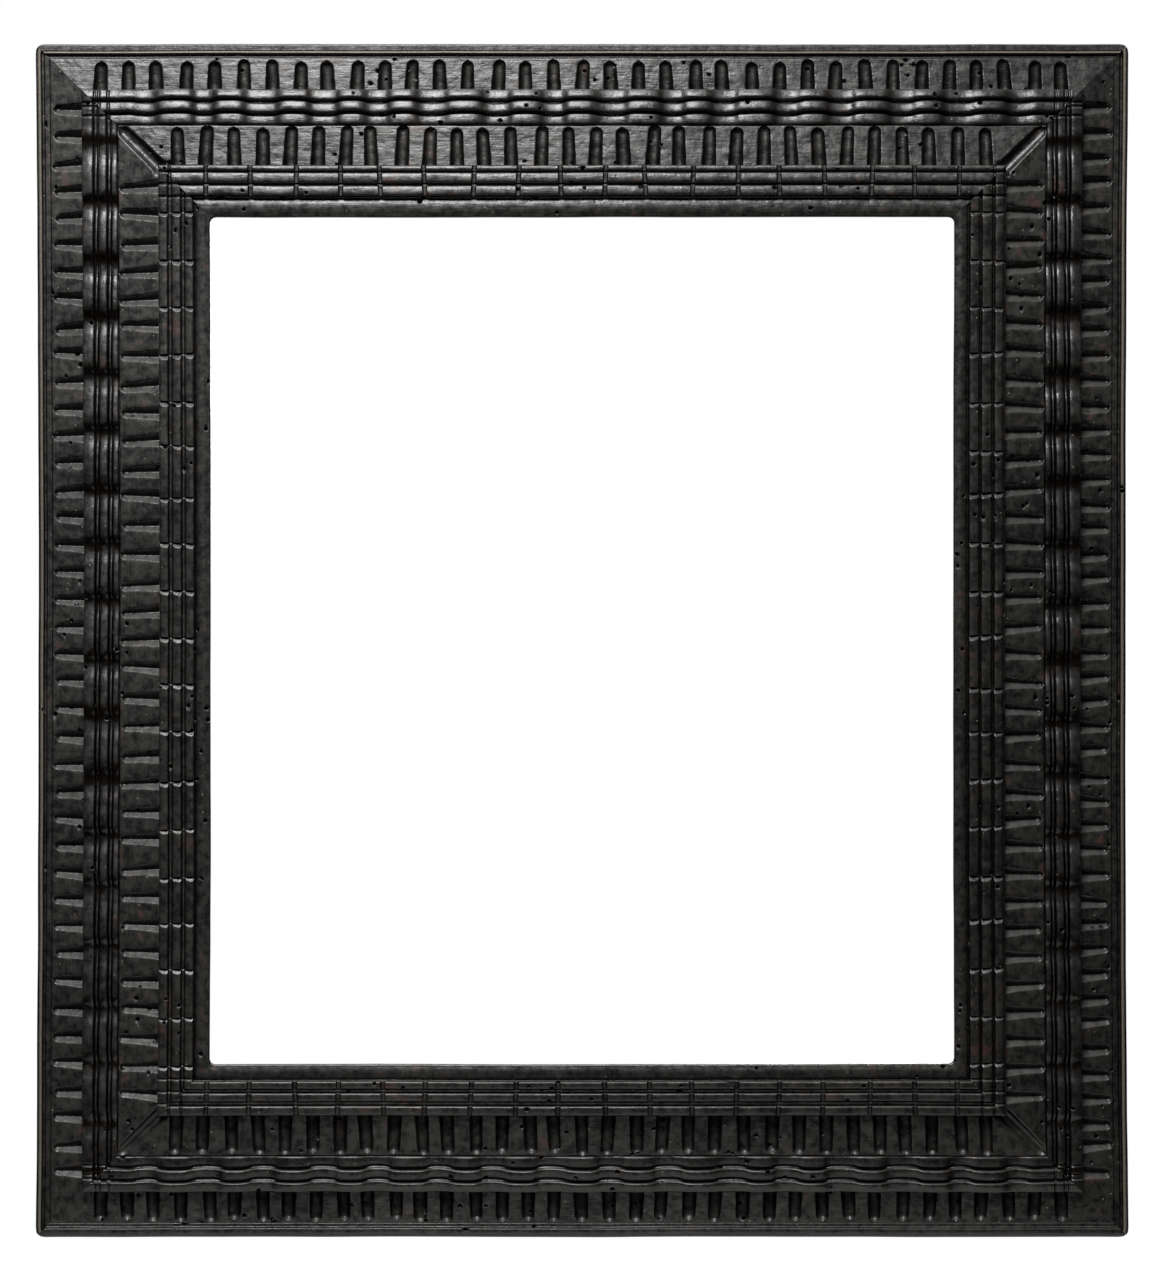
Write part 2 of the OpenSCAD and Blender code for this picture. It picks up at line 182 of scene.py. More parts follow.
def coated(tree, base, coats):
    """The colour under coats of other colours, each with its share, the last on top."""
    colour = srgb(base)
    for share, coat in coats:
        colour = add(tree, "Mix", share, colour, srgb(coat), data_type="RGBA")
    return colour


def surface(tree, colour, dull, marks, height, metal=None, ior=1.45):
    """Ends a material's tree, with marks of a height in metres, and gives its shader."""
    bump = add(tree, "Bump", 1.0, height, None, marks)
    bsdf = add(tree, "BsdfPrincipled", colour, metal, dull, ior).node
    tree.links.new(bump, bsdf.inputs["Normal"])
    tree.links.new(bump, bsdf.inputs["Coat Normal"])
    add(tree, "OutputMaterial", bsdf.outputs[0])
    return bsdf


def ebonised(name, face, dust, worn, haze):
    """Pearwood stained black and waxed."""
    # A near-black polished face under old wax, which greys it in blotches and streaks; red wood
    # where it has rubbed through; pale specks; painted shade in the hollows, the holes and on
    # the walls, and painted light on faces that look up and on the bead tops
    material, tree = blank(name)
    texture = add(tree, "TexCoord").node.outputs
    place, facing = texture["Object"], add(tree, "SeparateXYZ", texture["Normal"]).node.outputs
    relief, hole, stain = (stored(tree, name) for name in ("relief", "hole", "stain"))
    along = stored(tree, "along", "Vector")
    per_m = 1000
    # Wax blotches about 4 mm across, in patches of 60 mm; rubbed spots of 8 mm
    clouds = add(tree, "TexNoise", place, per_m / 4, 3.0, 0.6)
    patches = add(tree, "TexNoise", place, per_m / 60, 2.0, 0.5)
    spots = add(tree, "TexNoise", place, per_m / 8, 2.0, 0.6)
    # Plane scratches and pear grain, 0.45 mm wide and about 14 mm long
    grain_at = add(tree, "Mapping", along, None, None, (per_m / 14, per_m / 0.9, per_m / 0.9))
    grain = add(tree, "TexNoise", grain_at, 1.0, 2.0, 0.65)
    # Specks of limewash and dust, 0.3 mm across and some 4 mm apart
    speck = add(tree, "TexVoronoi", place, per_m / 4).node
    chosen = add(tree, "SeparateColor", speck.outputs["Color"])
    speck = add(tree, ((speck.outputs["Distance"], "<", (chosen, "*", 0.10)), "*",
                       (chosen, ">", 0.7)))
    # Near-black and with less coat where the surface lies below its neighbours: painted shade in
    # the hollows
    low = add(tree, "MapRange", relief, -0.1, -0.7, 0.0, 1.0)
    proud = add(tree, "MapRange", relief, 0.06, 0.3, 0.0, 1.0)
    # Black soot in random clouds and in the wave smudges, which are partly grime and partly painted
    # shade
    soot_and_shade = add(tree, "MapRange", ((stain, "*", 0.7), "+", clouds), 0.72, 1.0, 0.0, 1.0)
    # Pale wood where the bead tops are rubbed through, which is also a painted highlight
    pale_wood_and_highlight = add(tree, "MapRange", (stain, "+", (clouds, "*", 0.5)), 0.1, -0.6, 0.0, 0.85)
    rubbed = add(tree, "MapRange", ((spots, "+", (patches, "*", 0.5)), "+", (proud, "*", 0.04)),
                 0.93, 0.99, 0.0, 0.7)
    dusty = add(tree, "MapRange", ((clouds, "+", (patches, "*", 0.5)), "+", (grain, "*", 0.3)),
                0.75, 1.05, 0.0, 1.0)
    # Faces that look up are lighter, partly settled dust and partly painted light; walls that
    # face sideways or down are painted near-black and lose their coat, as painted shade
    shaded_wall = (("ABSOLUTE", facing["X"]), "MAXIMUM", (facing["Z"], "*", -1.5))
    shaded_wall = add(tree, "MapRange", shaded_wall, 0.3, 0.75, 0.0, 1.0)
    # Settled dust on faces that look up, which also paints the light from the lamp above
    upward_dust_and_light = add(tree, "MapRange", facing["Z"], 0.3, 0.75, 0.0, 0.6)
    # Over the face lie grey wax, worn wood, settled dust and painted light on faces that look
    # up, pale wood that is also a painted highlight, specks, soot and painted shade in the
    # hollows, and painted black shade on the walls and in the holes
    colour = coated(tree, face, (
        (dusty, dust), (rubbed, worn), (upward_dust_and_light, "#565552"), (pale_wood_and_highlight, "#7d7667"), (speck, "#8b8272"),
        ((("MAXIMUM", low, soot_and_shade), "*", 0.9), "#120b07"), ((shaded_wall, "*", 0.9), "#040303"),
        (hole, "#030202")))
    # Less coat in the holes, the hollows, the soot and on the walls: painted shade, with real grime
    # in the soot
    bare_and_shaded = ((1.0, "-", hole), "*", (1.0, "-", (low, "*", 0.5)))
    bare_and_shaded = ((1.0, "-", (soot_and_shade, "*", 0.92)), "*", bare_and_shaded)
    bare_and_shaded = (bare_and_shaded, "*", (1.0, "-", (shaded_wall, "*", 0.92)))
    wax = add(tree, "MapRange", ((clouds, "+", (patches, "*", 0.3)), "+", (grain, "*", 0.3)),
              0.62, 0.98, 0.35, 1.0)
    # Less coat towards the right side, which darkens it: painted shade, as the lamp stands to the
    # left
    across = add(tree, "SeparateXYZ", place)
    wax = add(tree, (wax, "*", add(tree, "MapRange", across, -0.24, 0.24, 1.0, 0.55)))
    dull = add(tree, "MapRange", clouds, 0.35, 0.75, 0.24, 0.42)
    # Hand planing stands 0.1 mm high over 4 mm, and scratches a quarter of that
    bsdf = surface(tree, colour, dull, ((clouds, "*", 0.45), "+", (grain, "*", 0.16)), 0.0006)
    tree.links.new(add(tree, (wax, "*", bare_and_shaded)), bsdf.inputs["Coat Weight"])
    bsdf.inputs["Coat Roughness"].default_value = haze
    bsdf.inputs["Coat IOR"].default_value = 1.7
    return material


def arc(centre, radius, first, last, steps):
    """Points on an arc, from one angle to another, in degrees."""
    angles = np.radians(np.linspace(first, last, steps + 1))
    return [(centre[0] + radius * math.cos(a), centre[1] + radius * math.sin(a)) for a in angles]


def reed(start, width, ground, rise, steps=10):
    """The back of a reed: an arc over a chord of its width."""
    radius = (width ** 2 / 4 + rise ** 2) / (2 * rise)
    half = math.degrees(math.asin(width / 2 / radius))
    return arc((start + width / 2, ground + rise - radius), radius, 90 + half, 90 - half, steps)


def fine(path, step):
    """The path with points no further apart than the step."""
    points = [path[0]]
    for a, b in zip(path, path[1:]):
        parts = max(1, math.ceil(math.dist(a, b) / step))
        points += [tuple(np.array(a) + (np.array(b) - np.array(a)) * i / parts)
                   for i in range(1, parts + 1)]
    return points


def carving_tree(name, mitred_bar=True, **sizes):
    """A Geometry Nodes tree with a named input for each size, and its inputs."""
    tree = bpy.data.node_groups.new(name, "GeometryNodeTree")
    tree.interface.new_socket("Outline", in_out="INPUT", socket_type="NodeSocketGeometry")
    tree.interface.new_socket("Finish", in_out="INPUT", socket_type="NodeSocketMaterial")
    bar = {"Seed": 0, "Side": 0, "Reach": 298.0, "Half": 273.0, "Back": 20.0, "Holes": 0.001}
    for label, size in {**(bar if mitred_bar else {}), **sizes}.items():
        kind = "NodeSocketInt" if isinstance(size, int) else "NodeSocketFloat"
        tree.interface.new_socket(label.replace("_", " "), in_out="INPUT",
                                  socket_type=kind).default_value = size
    tree.interface.new_socket("Moulding", in_out="OUTPUT", socket_type="NodeSocketGeometry")
    return tree, tree.nodes.new("NodeGroupInput").outputs


def swept(tree, given, rings):
    """Sweeps the outline through a number of rings. Gives the bar, ring, u and height."""
    line = add(tree, "MeshLine", rings)
    line = add(tree, "StoreNamedAttribute", line, None, "ring", add(tree, "InputIndex"))
    bar = add(tree, "CurveToMesh", add(tree, "MeshToCurve", line),
              add(tree, "MeshToCurve", given["Outline"]), None, True)
    return [bar] + [add(tree, "InputNamedAttribute", name) for name in ("ring", "across", "height")]


def mitred(tree, given, x, u):
    """The place along the moulding, held within its mitres, which gape by 0.1 mm."""
    half_gap = 0.05
    end = add(tree, ((given["Half"], "-", u), "-", half_gap))
    return add(tree, ((x, "MINIMUM", end), "MAXIMUM", (end, "*", -1.0)))


def hand_over(tree, given, mesh, smooth=True):
    """Ends a tree: millimetres to metres, real points, smooth faces and the finish."""
    mesh = add(tree, "Transform", mesh, None, None, (0.001, 0.001, 0.001))
    mesh = add(tree, "RealizeInstances", mesh)
    if smooth:
        mesh = add(tree, "SetShadeSmooth", mesh)
    add(tree, "GroupOutput", add(tree, "SetMaterial", mesh, None, given["Finish"]))


def finished(tree, given, bar, x, u, height, sway=0.0, stain=0.0, cutter=None):
    """Places the points of a carved bar, bores and ages it, and ends its tree."""
    same_point, blur_steps = 0.004, 8
    depth = add(tree, ((given["Back"], "+", height), "*", -1.0))
    up = add(tree, ((given["Reach"], "-", u), "-", sway))
    bar = add(tree, "SetPosition", bar, None, add(tree, "CombineXYZ", x, depth, up))
    bar = add(tree, "MergeByDistance", bar, None, same_point)
    position = add(tree, "InputPosition")
    level = add(tree, "SeparateXYZ", position).node.outputs["Y"]
    relief = add(tree, (add(tree, "BlurAttribute", level, blur_steps), "-", level))
    along = add(tree, "VectorMath", position, (0.001, 0.001, 0.001), operation="MULTIPLY")
    along = add(tree, "VectorMath", along, add(tree, "CombineXYZ", given["Seed"], 0.0, 0.0),
                operation="ADD")
    for label, value, kind in (("relief", relief, "FLOAT"), ("stain", stain, "FLOAT"),
                               ("along", along, "FLOAT_VECTOR")):
        bar = add(tree, "StoreNamedAttribute", bar, None, label, value, data_type=kind)
    bar = bored(tree, given, bar)
    if cutter:
        bar = add(tree, "MeshBoolean", bar, cutter, operation="DIFFERENCE", solver="MANIFOLD")
    turn = add(tree, (given["Side"], "*", math.pi / 2))
    place = add(tree, "VectorRotate", position, None, turn, rotation_type="Y_AXIS")
    bar = add(tree, "SetPosition", bar, None, place)
    bar = add(tree, "SetPosition", bar, None, None, warp(tree))
    hand_over(tree, given, bar)


def warp(tree):
    """How far two centuries have moved a point, in mm: stiles bowed in, boards
    uneven, the outer corners knocked round and the sight corners clogged with wax."""
    bow, shrunk = 1.5, 900.0
    place = add(tree, "InputPosition")
    x, y, z = add(tree, "SeparateXYZ", place).node.outputs
    out = add(tree, "MapRange", ("ABSOLUTE", x), 100.0, 273.0, 0.2, 1.0)
    middle = (1.0, "-", ((z, "/", 298.0), "POWER", 2.0))
    move_x = (((out, "*", middle), "*", -bow), "-", ("ABSOLUTE", (x, "/", shrunk)))
    move_x = (("SIGN", x), "*", move_x)
    move_z = (z, "/", -shrunk)
    for corner_x, corner_z, radius, fade in ((269.0, 294.0, 4.0, 9.0), (182.5, 207.5, 3.0, 4.0)):
        # The square round the corner's centre is drawn in to a circle
        off_x = add(tree, ((("ABSOLUTE", x), "-", corner_x), "MAXIMUM", 0.0))
        off_z = add(tree, ((("ABSOLUTE", z), "-", corner_z), "MAXIMUM", 0.0))
        square = add(tree, (off_x, "MAXIMUM", off_z))
        length = ("SQRT", (((off_x, "*", off_x), "+", (off_z, "*", off_z)), "+", 0.0001))
        near = add(tree, "MapRange", square, radius, radius + fade, 1.0, 0.0)
        pull = add(tree, ((1.0, "-", (square, "/", length)), "*", near))
        move_x = (move_x, "-", (("SIGN", x), "*", (off_x, "*", pull)))
        move_z = (move_z, "-", (("SIGN", z), "*", (off_z, "*", pull)))
    uneven = add(tree, "TexNoise", place, 0.011, 2.0, 0.5).node.outputs["Color"]
    offset = add(tree, "VectorMath", uneven, (1.0, 0.5, 1.0), (-0.5, -0.05, -0.5),
                 operation="MULTIPLY_ADD")
    return add(tree, "VectorMath", offset, add(tree, "CombineXYZ", move_x, 0.0, move_z),
               operation="ADD")


def bored(tree, given, bar):
    """Bores flight holes of furniture beetle, about 2 mm across with their crumbled
    rims, in the faces that look forwards."""
    rim_r, inner_r, length, proud = 1.1, 0.85, 3.6, 0.3
    normal = add(tree, "SeparateXYZ", add(tree, "InputNormal")).node.outputs["Y"]
    cloud = add(tree, "TexNoise", add(tree, "InputPosition"), 0.02)
    density = add(tree, ((normal, "<", -0.5), "*", ((cloud, ">", 0.47), "*", given["Holes"])))
    points = add(tree, "DistributePointsOnFaces", bar, None, density, given["Seed"])
    bit = add(tree, "MeshCone", 10, None, None, rim_r, inner_r, length)
    bit = add(tree, "Transform", bit, (0.0, 0.0, proud - length))
    # The bore's walls are marked, and the finishes paint them near-black as shade
    bit = add(tree, "StoreNamedAttribute", bit, None, "hole", 1.0)
    size = add(tree, "RandomValue", 0.75, 1.15, None, 5)
    bits = add(tree, "InstanceOnPoints", points, None, bit, None, None,
               points.node.outputs["Rotation"], add(tree, "CombineXYZ", size, size, 1.0))
    return add(tree, "MeshBoolean", bar, add(tree, "RealizeInstances", bits),
               operation="DIFFERENCE", solver="MANIFOLD")


def crossed(tree, given, height, from_end, shift, half_width, depth):
    """The height with three quirks of the next side run on across it."""
    for number in (1, 2, 3):
        near = (((from_end, "-", given[f"Line {number}"]), "-", shift), "/", half_width)
        notch = ((1.0, "-", (near, "*", near)), "MAXIMUM", 0.0)
        height = add(tree, (height, "-", (notch, "*", depth)))
    return height


def outline(name, path):
    """A closed loop of edges through points of distance inwards and height."""
    across, height = np.array(path).T
    count = len(across)
    mesh = bpy.data.meshes.new(name)
    mesh.from_pydata([(u, h, 0) for u, h in zip(across, height)],
                     [(i, (i + 1) % count) for i in range(count)], [])
    for label, values in (("across", across), ("height", height)):
        mesh.attributes.new(label, "FLOAT", "POINT").data.foreach_set("value", values)
    return mesh


def carved(name, node, start, tree, body, slot, **values):
    """Runs a carving tree on a mesh, and gives the plain result to a new piece."""
    piece = bpy.data.objects.new(name, start)
    scene.collection.objects.link(piece)
    modifier = piece.modifiers.new("carving", "NODES")
    modifier.node_group = tree
    for item in tree.interface.items_tree:
        key = item.name.replace(" ", "_")
        if item.in_out == "INPUT" and key in values:
            modifier[item.identifier] = values[key]
    evaluated = piece.evaluated_get(bpy.context.evaluated_depsgraph_get())
    mesh = bpy.data.meshes.new_from_object(evaluated)
    piece.modifiers.remove(modifier)
    piece.data = mesh
    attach(piece, body)
    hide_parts(node)
    return piece


def box_mm(node):
    """The low and high corner of a node's box, in mm."""
    return [np.array(corner) * 1000 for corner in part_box(node)]


back_t = -box_mm("back_rail_top")[0][1]


def lengths(name, sides=("top", "right", "bottom", "left")):
    """For each side's length: the side's number, the node, the inputs that place it,
    and its half length, width and height, in mm."""
    for side, side_name in enumerate(sides):
        node = f"{name}_{side_name}"
        low, high = box_mm(node)
        along, across = ((0, 2), (2, 0))[side % 2]
        reach, half = float(max(abs(low[across]), abs(high[across]))), float(high[along])
        lie = {"Side": side, "Reach": reach, "Half": half, "Back": back_t}
        yield side, node, lie, half, float(high[across] - low[across]), float(-low[1]) - back_t


moulding_finish = ebonised("ebonised pearwood, waxed", "#100f0e", "#262522", "#40241d", 0.58)
frieze_finish = ebonised("ebonised pearwood, dusty", "#11100f", "#2b2a27", "#482a22", 0.62)
wave_finish = ebonised("ebonised pearwood, polished", "#0f0e0d", "#22211f", "#3c211a", 0.50)

tree, given = carving_tree("plain run", Rings=240, Holes=0.0015)
bar, ring, u, height = swept(tree, given, given["Rings"])
x = add(tree, "MapRange", ring, 0.0, (given["Rings"], "-", 1.0),
        (given["Half"], "*", -1.0), given["Half"])
x = mitred(tree, given, x, u)
# The top of the bead is rubbed through to the pale wood, which also paints a highlight line along
# it
bead_top = 4.35
finished(tree, given, bar, x, u, height, stain=("MULTIPLY", -1.0, (height, ">", bead_top)))

# A wide flat and a bead on the rails; on the stiles the bead stands at the rim
rail_edge = [(0.0, 3.3), (0.5, 4.0), (3.6, 4.2), (3.7, 3.8), *reed(3.8, 1.3, 3.9, 0.9), (5.2, 2.9),
             (6.3, 2.9), (6.5, 3.85), (7.0, 3.85)]
stile_edge = [(0.0, 3.2), (0.2, 3.6), (0.7, 3.0), (1.0, 2.9), *reed(1.1, 1.8, 3.2, 1.6), (3.0, 2.6),
              (4.0, 2.6), (4.5, 3.7), (7.0, 3.85)]
# The bottom edge stays below the bead top, so it gets no pale highlight line
lower_edge = [(0.0, 2.6), (0.9, 3.4), (1.9, 3.9), (2.8, 4.1), (4.2, 4.2), (4.5, 3.8), (5.0, 4.25),
              (5.6, 3.9), (7.0, 3.85)]
for side, node, lie, half, width, top in lengths("edge_moulding"):
    path = fine((rail_edge, stile_edge, lower_edge, stile_edge)[side], 0.45)
    start = outline(node, [(0.0, 0.0), *path, (width, 0.0)])
    carved(f"bead_{node}", node, start, tree, "frame", "ebonised_moulding",
           Finish=moulding_finish, Seed=40 + side, **lie)


# Fluted friezes. Boards that slope back to the outer edge, each cut across with
# a row of gouge flutes that deepen inwards; the inner one has a flute on each mitre.
tree, given = carving_tree(
    "flutes across a frieze", Width=16.5, Flutes=35, Pitch=14.0, Columns=22, Corner_Rings=40,
    Radius=3.6, Start=4.0, End_Gap=7.0, Mitre_Flute=0.0, Holes=0.004, Floor_Outer=4.0,
    Floor_Inner=8.0, Flat=0.0, Squareness=2.1, Blunt=2.0, Land=0.18, Slant=0.0, Worn_Rim=0.25,
    Line_Depth=0.0, Line_Shift=0.0, Line_1=0.0, Line_2=0.0, Line_3=0.0)
rings = add(tree, (((given["Flutes"], "*", given["Columns"]), "+", 1.0), "+",
                   (given["Corner Rings"], "*", 2.0)))
bar, ring, u, height = swept(tree, given, rings)
place_in_row = add(tree, (ring, "-", given["Corner Rings"]))
last_flute = add(tree, (given["Flutes"], "-", 1.0))
flute = add(tree, ((("FLOOR", (place_in_row, "/", given["Columns"])), "MAXIMUM", 0.0), "MINIMUM",
                   last_flute))
share = add(tree, "MapRange", (place_in_row, "-", (flute, "*", given["Columns"])), 0.0,
            given["Columns"], 0.0, 1.0)
row_end = add(tree, (((last_flute, "*", given["Pitch"]), "*", 0.5), "+", given["End Gap"]))
left = add(tree, (((flute, "-", (given["Flutes"], "*", 0.5)), "*", given["Pitch"]), "MAXIMUM",
                  (row_end, "*", -1.0)))
right = add(tree, ((((flute, "+", 1.0), "-", (given["Flutes"], "*", 0.5)), "*", given["Pitch"]),
                   "MINIMUM", row_end))
inward = add(tree, (u, "-", given["Width"]))
# Each flute has its own place, lean, length, width and depth
seed = given["Seed"]
spreads = ((-0.9, 0.9), (-0.06, 0.06), (-0.9, 0.9), (0.92, 1.05), (-0.25, 0.3))
shift, lean, later, wider, sink = (
    add(tree, "RandomValue", low, high, flute, (seed, "+", number + 1.0))
    for number, (low, high) in enumerate(spreads))
start = add(tree, (given["Start"], "+", later))
radius = add(tree, (given["Radius"], "*", wider))
centre = add(tree, ((((flute, "-", (last_flute, "*", 0.5)), "*", given["Pitch"]), "+", shift), "+",
                    (lean, "*", inward)))
to_go = add(tree, "MapRange", u, start, given["Width"], 1.0, 0.0)
rise = (((given["Floor Outer"], "-", given["Floor Inner"]), "*", to_go), "*", to_go)
floor_line = add(tree, ((given["Floor Inner"], "-", sink), "+", rise))
before = add(tree, ((start, "-", u), "MAXIMUM", 0.0))
# Columns lie along the rims of the flute, and close up towards them
sunk = add(tree, ((height, "-", floor_line), "MAXIMUM", 0.0))
reach_up = add(tree, ((radius, "-", sunk), "MAXIMUM", 0.0))
power, root = given["Squareness"], add(tree, (1.0, "/", given["Squareness"]))
end = add(tree, ((before, "/", radius), "POWER", given["Blunt"]))
rim = ((1.0, "-", ((reach_up, "/", radius), "POWER", power)), "-", end)
rim = ((rim, "MAXIMUM", 0.02), "POWER", root)
rim = add(tree, ((rim, "*", radius), "+", given["Flat"]))
land, far_land = given["Land"], (1.0, "-", given["Land"])
swing = add(tree, "MapRange", share, land, far_land, -math.pi / 2, math.pi / 2)
before_rim = add(tree, (add(tree, "MapRange", share, 0.0, land, 1.0, 0.0), "POWER", 2.5))
after_rim = add(tree, (add(tree, "MapRange", share, far_land, 1.0, 0.0, 1.0), "POWER", 2.5))
x = (centre, "+", (("SINE", swing), "*", rim))
x = (x, "+", (before_rim, "*", (left, "-", (centre, "-", rim))))
x = (x, "+", (after_rim, "*", (right, "-", (centre, "+", rim))))
corner_in = add(tree, "MapRange", ring, 0.0, given["Corner Rings"], 1.0, 0.0)
corner_out = add(tree, "MapRange", ((rings, "-", 1.0), "-", ring), 0.0, given["Corner Rings"],
                 1.0, 0.0)
x = (x, "-", (corner_in, "*", (given["Half"], "+", left)))
x = mitred(tree, given, (x, "+", (corner_out, "*", (given["Half"], "-", right))), u)
aside = add(tree, ((("ABSOLUTE", (x, "-", centre)), "-", given["Flat"]), "MAXIMUM", 0.0))
round_of = add(tree, ((1.0, "-", ((aside, "/", radius), "POWER", power)), "-", end))
gouge = (radius, "*", (1.0, "-", ((round_of, "MAXIMUM", 0.0), "POWER", root)))
slanting = ((given["Slant"], "*", (x, "-", centre)), "+",
            (("ABSOLUTE", given["Slant"]), "*", (given["Flat"], "+", given["Radius"])))
# Beyond its end a cut is lifted clear of the wood
clear = 20.0
lifted = ((round_of, "<", -0.01), "*", clear)
gouge = add(tree, (((floor_line, "+", gouge), "+", slanting), "+", lifted))
# The flute on the mitre runs the same way along the diagonal
half_root = 0.7071
from_end = add(tree, (given["Half"], "-", ("ABSOLUTE", x)))
off = add(tree, ((from_end, "-", u), "*", half_root))
middle = add(tree, ((from_end, "+", u), "*", 0.5))
short = add(tree, ((given["Start"], "-", middle), "MAXIMUM", 0.0))
diagonal = add(tree, "MapRange", middle, given["Start"], given["Width"],
               given["Floor Outer"], given["Floor Inner"], clamp=False)
big = given["Radius"]
round_of = add(tree, (((big, "*", big), "-", (off, "*", off)), "-", (short, "*", short)))
mitre_gouge = (((diagonal, "+", big), "-", ("SQRT", (round_of, "MAXIMUM", 0.0))), "+",
               (((1.0, "-", given["Mitre Flute"]), "+", (round_of, "<", 0.0)), "*", clear))
height = add(tree, ((height, "SMOOTH_MIN", gouge, given["Worn Rim"]), "MINIMUM", mitre_gouge))
# The plane left its own hollows in the lands
tool_marks = add(tree, "TexNoise", add(tree, "CombineXYZ", x, u, seed), 0.16, 3.0, 0.5)
height = add(tree, (height, "+", ((tool_marks, "-", 0.7), "*", ((height, ">", 0.01), "*", 0.6))))
# At one end the crossing quirks may lie further in, or less far
shift = (given["Line Shift"], "*", (x, "<", 0.0))
height = crossed(tree, given, height, from_end, shift, 0.75, given["Line Depth"])
finished(tree, given, bar, x, u, height)
flute_tree = tree

frieze_slope = math.tan(math.radians(8))
flute_corner = 9.5
flute_margins = {"outer_frieze": 1.0, "inner_frieze": 0.35}
flute_pitch = {"outer_frieze": (14.1, 12.4, 13.5, 13.6), "inner_frieze": (13.8, 13.7, 13.4, 14.2)}
gouge_r, shallow = 3.4, 2.3
for ring_number, (ring_name, pitches) in enumerate(flute_pitch.items()):
    for side, node, lie, half, width, top in lengths(ring_name):
        # A rounded gouge on the rails, and a blunt-nosed V with worn rims on the stiles
        power, blunt, worn_rim, deep = ((1.9, 2.0, 0.25, 4.2), (1.1, 2.8, 0.9, 3.45))[side % 2]
        flute_start = flute_margins[ring_name] + gouge_r * (
            1 - (1 - shallow / gouge_r) ** power) ** (1 / blunt)
        path = fine([(0.0, top - width * frieze_slope - 0.35),
                     (0.3, top - (width - 0.3) * frieze_slope), (width, top)], 0.55)
        run = 2 * (half - width - flute_corner)
        gaps = round(run / pitches[side])
        start = outline(node, [(0.0, 0.0), *path, (width, 0.0)])
        carved(f"fluted_{node}", node, start, flute_tree, "frame", "ebonised_frieze",
               Finish=frieze_finish, Seed=side + 10 * ring_number, Width=width, Flutes=gaps + 1,
               Pitch=run / gaps, Mitre_Flute=float(ring_number), Start=flute_start,
               Radius=gouge_r, Squareness=power, Blunt=blunt, Worn_Rim=worn_rim,
               Floor_Inner=top - deep,
               Floor_Outer=top - (width - flute_start) * frieze_slope - shallow, **lie)


# Wave moulding. Reeds scraped in one length of pearwood by an iron that rises and
# falls on a template, so they swell together in even waves: three on the rails, and
# on the stiles three with a thin bead between each two.
tree, given = carving_tree(
    "waves along reeds", Width=18.0, Waves=16, Columns=34, Corner_Rings=44, Depth=2.4,
    Long_Crests=0.1, Steepness=1.8, Skew=0.0, Sway=0.4, Ground=9.0, Fall=2.3, Cross_Depth=1.0,
    Line_1=6.9, Line_2=8.8, Line_3=13.5, Smudge_At=1.6, Soot=0.5, Holes=0.003)
last_ring = add(tree, ((given["Waves"], "*", given["Columns"]), "+",
                       (given["Corner Rings"], "*", 2.0)))
bar, ring, u, height = swept(tree, given, (last_ring, "+", 1.0))
span = add(tree, (given["Half"], "-", given["Width"]))
x = add(tree, "MapRange", ring, given["Corner Rings"],
        (last_ring, "-", given["Corner Rings"]), (span, "*", -1.0), span)
corner_in = add(tree, "MapRange", ring, 0.0, given["Corner Rings"], given["Width"], 0.0)
corner_out = add(tree, "MapRange", (last_ring, "-", ring), 0.0, given["Corner Rings"],
                 given["Width"], 0.0)
x = mitred(tree, given, ((x, "-", corner_in), "+", corner_out), u)
pitch = add(tree, ((span, "*", 2.0), "/", given["Waves"]))
uneven = add(tree, "TexNoise", add(tree, "CombineXYZ", x, given["Seed"], 0.0), 0.03)
slide = add(tree, "MapRange", uneven, 0.3, 0.7, -0.7, 0.7)
phase = add(tree, (((x, "/", pitch), "*", math.tau), "+", slide))
phase = add(tree, (phase, "+", (given["Waves"], "*", math.pi)))
inside = add(tree, "MapRange", (span, "-", ("ABSOLUTE", x)), 0.0, (pitch, "*", 0.5), 0.0, 1.0)
# Crests and troughs are flat, and the slopes between them short
skewed = add(tree, (phase, "+", (("COSINE", phase), "*", given["Skew"])))
swell = ((("COSINE", skewed), "+", given["Long Crests"]), "*", given["Steepness"])
swell = (("SIGN", swell), "*", (1.0, "-", (2.718, "POWER", (("ABSOLUTE", swell), "*", -1.0))))
swell = add(tree, (swell, "*", inside))
middle = add(tree, ("SINE", ((u, "/", given["Width"]), "*", math.pi)))
sway = ((swell, "*", middle), "*", (given["Sway"], "*", -1.0))
# The quirks keep their depth
ground = (given["Ground"], "-", (given["Fall"], "*", ((u, "/", given["Width"]), "POWER", 2.0)))
top = add(tree, (height, ">", (ground, "-", 0.5)))
raised = ((swell, "*", given["Depth"]), "*", 0.5)
height = add(tree, (height, "+", (raised, "*", top)))
from_end = add(tree, (given["Half"], "-", ("ABSOLUTE", x)))
height = crossed(tree, given, height, from_end, 0.0, 0.8, (given["Cross Depth"], "*", top))
# The troughs hold old soot and wax and have less polish; each dark smudge is also painted
# shade, placed where the wave's slope turns away from the light above
ragged = add(tree, "TexNoise", add(tree, "CombineXYZ", x, (u, "*", 1.5), given["Seed"]), 0.2, 2.0)
at = ((phase, "-", given["Smudge At"]), "+", ((ragged, "-", 0.5), "*", 2.6))
soot_and_shade = add(tree, "MapRange", ("COSINE", at), 0.5, 0.95, 0.0, given["Soot"])
finished(tree, given, bar, x, u, height, sway, soot_and_shade)


def full_reed(start, width, rise, lean, fullness, ground):
    """The back of a reed with full shoulders, between quirks; ground(u) is its foot."""
    quirk, points = 0.9, []
    for t in (1 - np.cos(np.linspace(0, math.pi, 13))) / 2:
        across = start + t * width
        bulge = (4 * t * (1 - t)) ** fullness
        points.append((across, ground(across) + (rise + lean * (t - 0.5) * width) * bulge
                       - quirk * (t in (0, 1))))
    return points


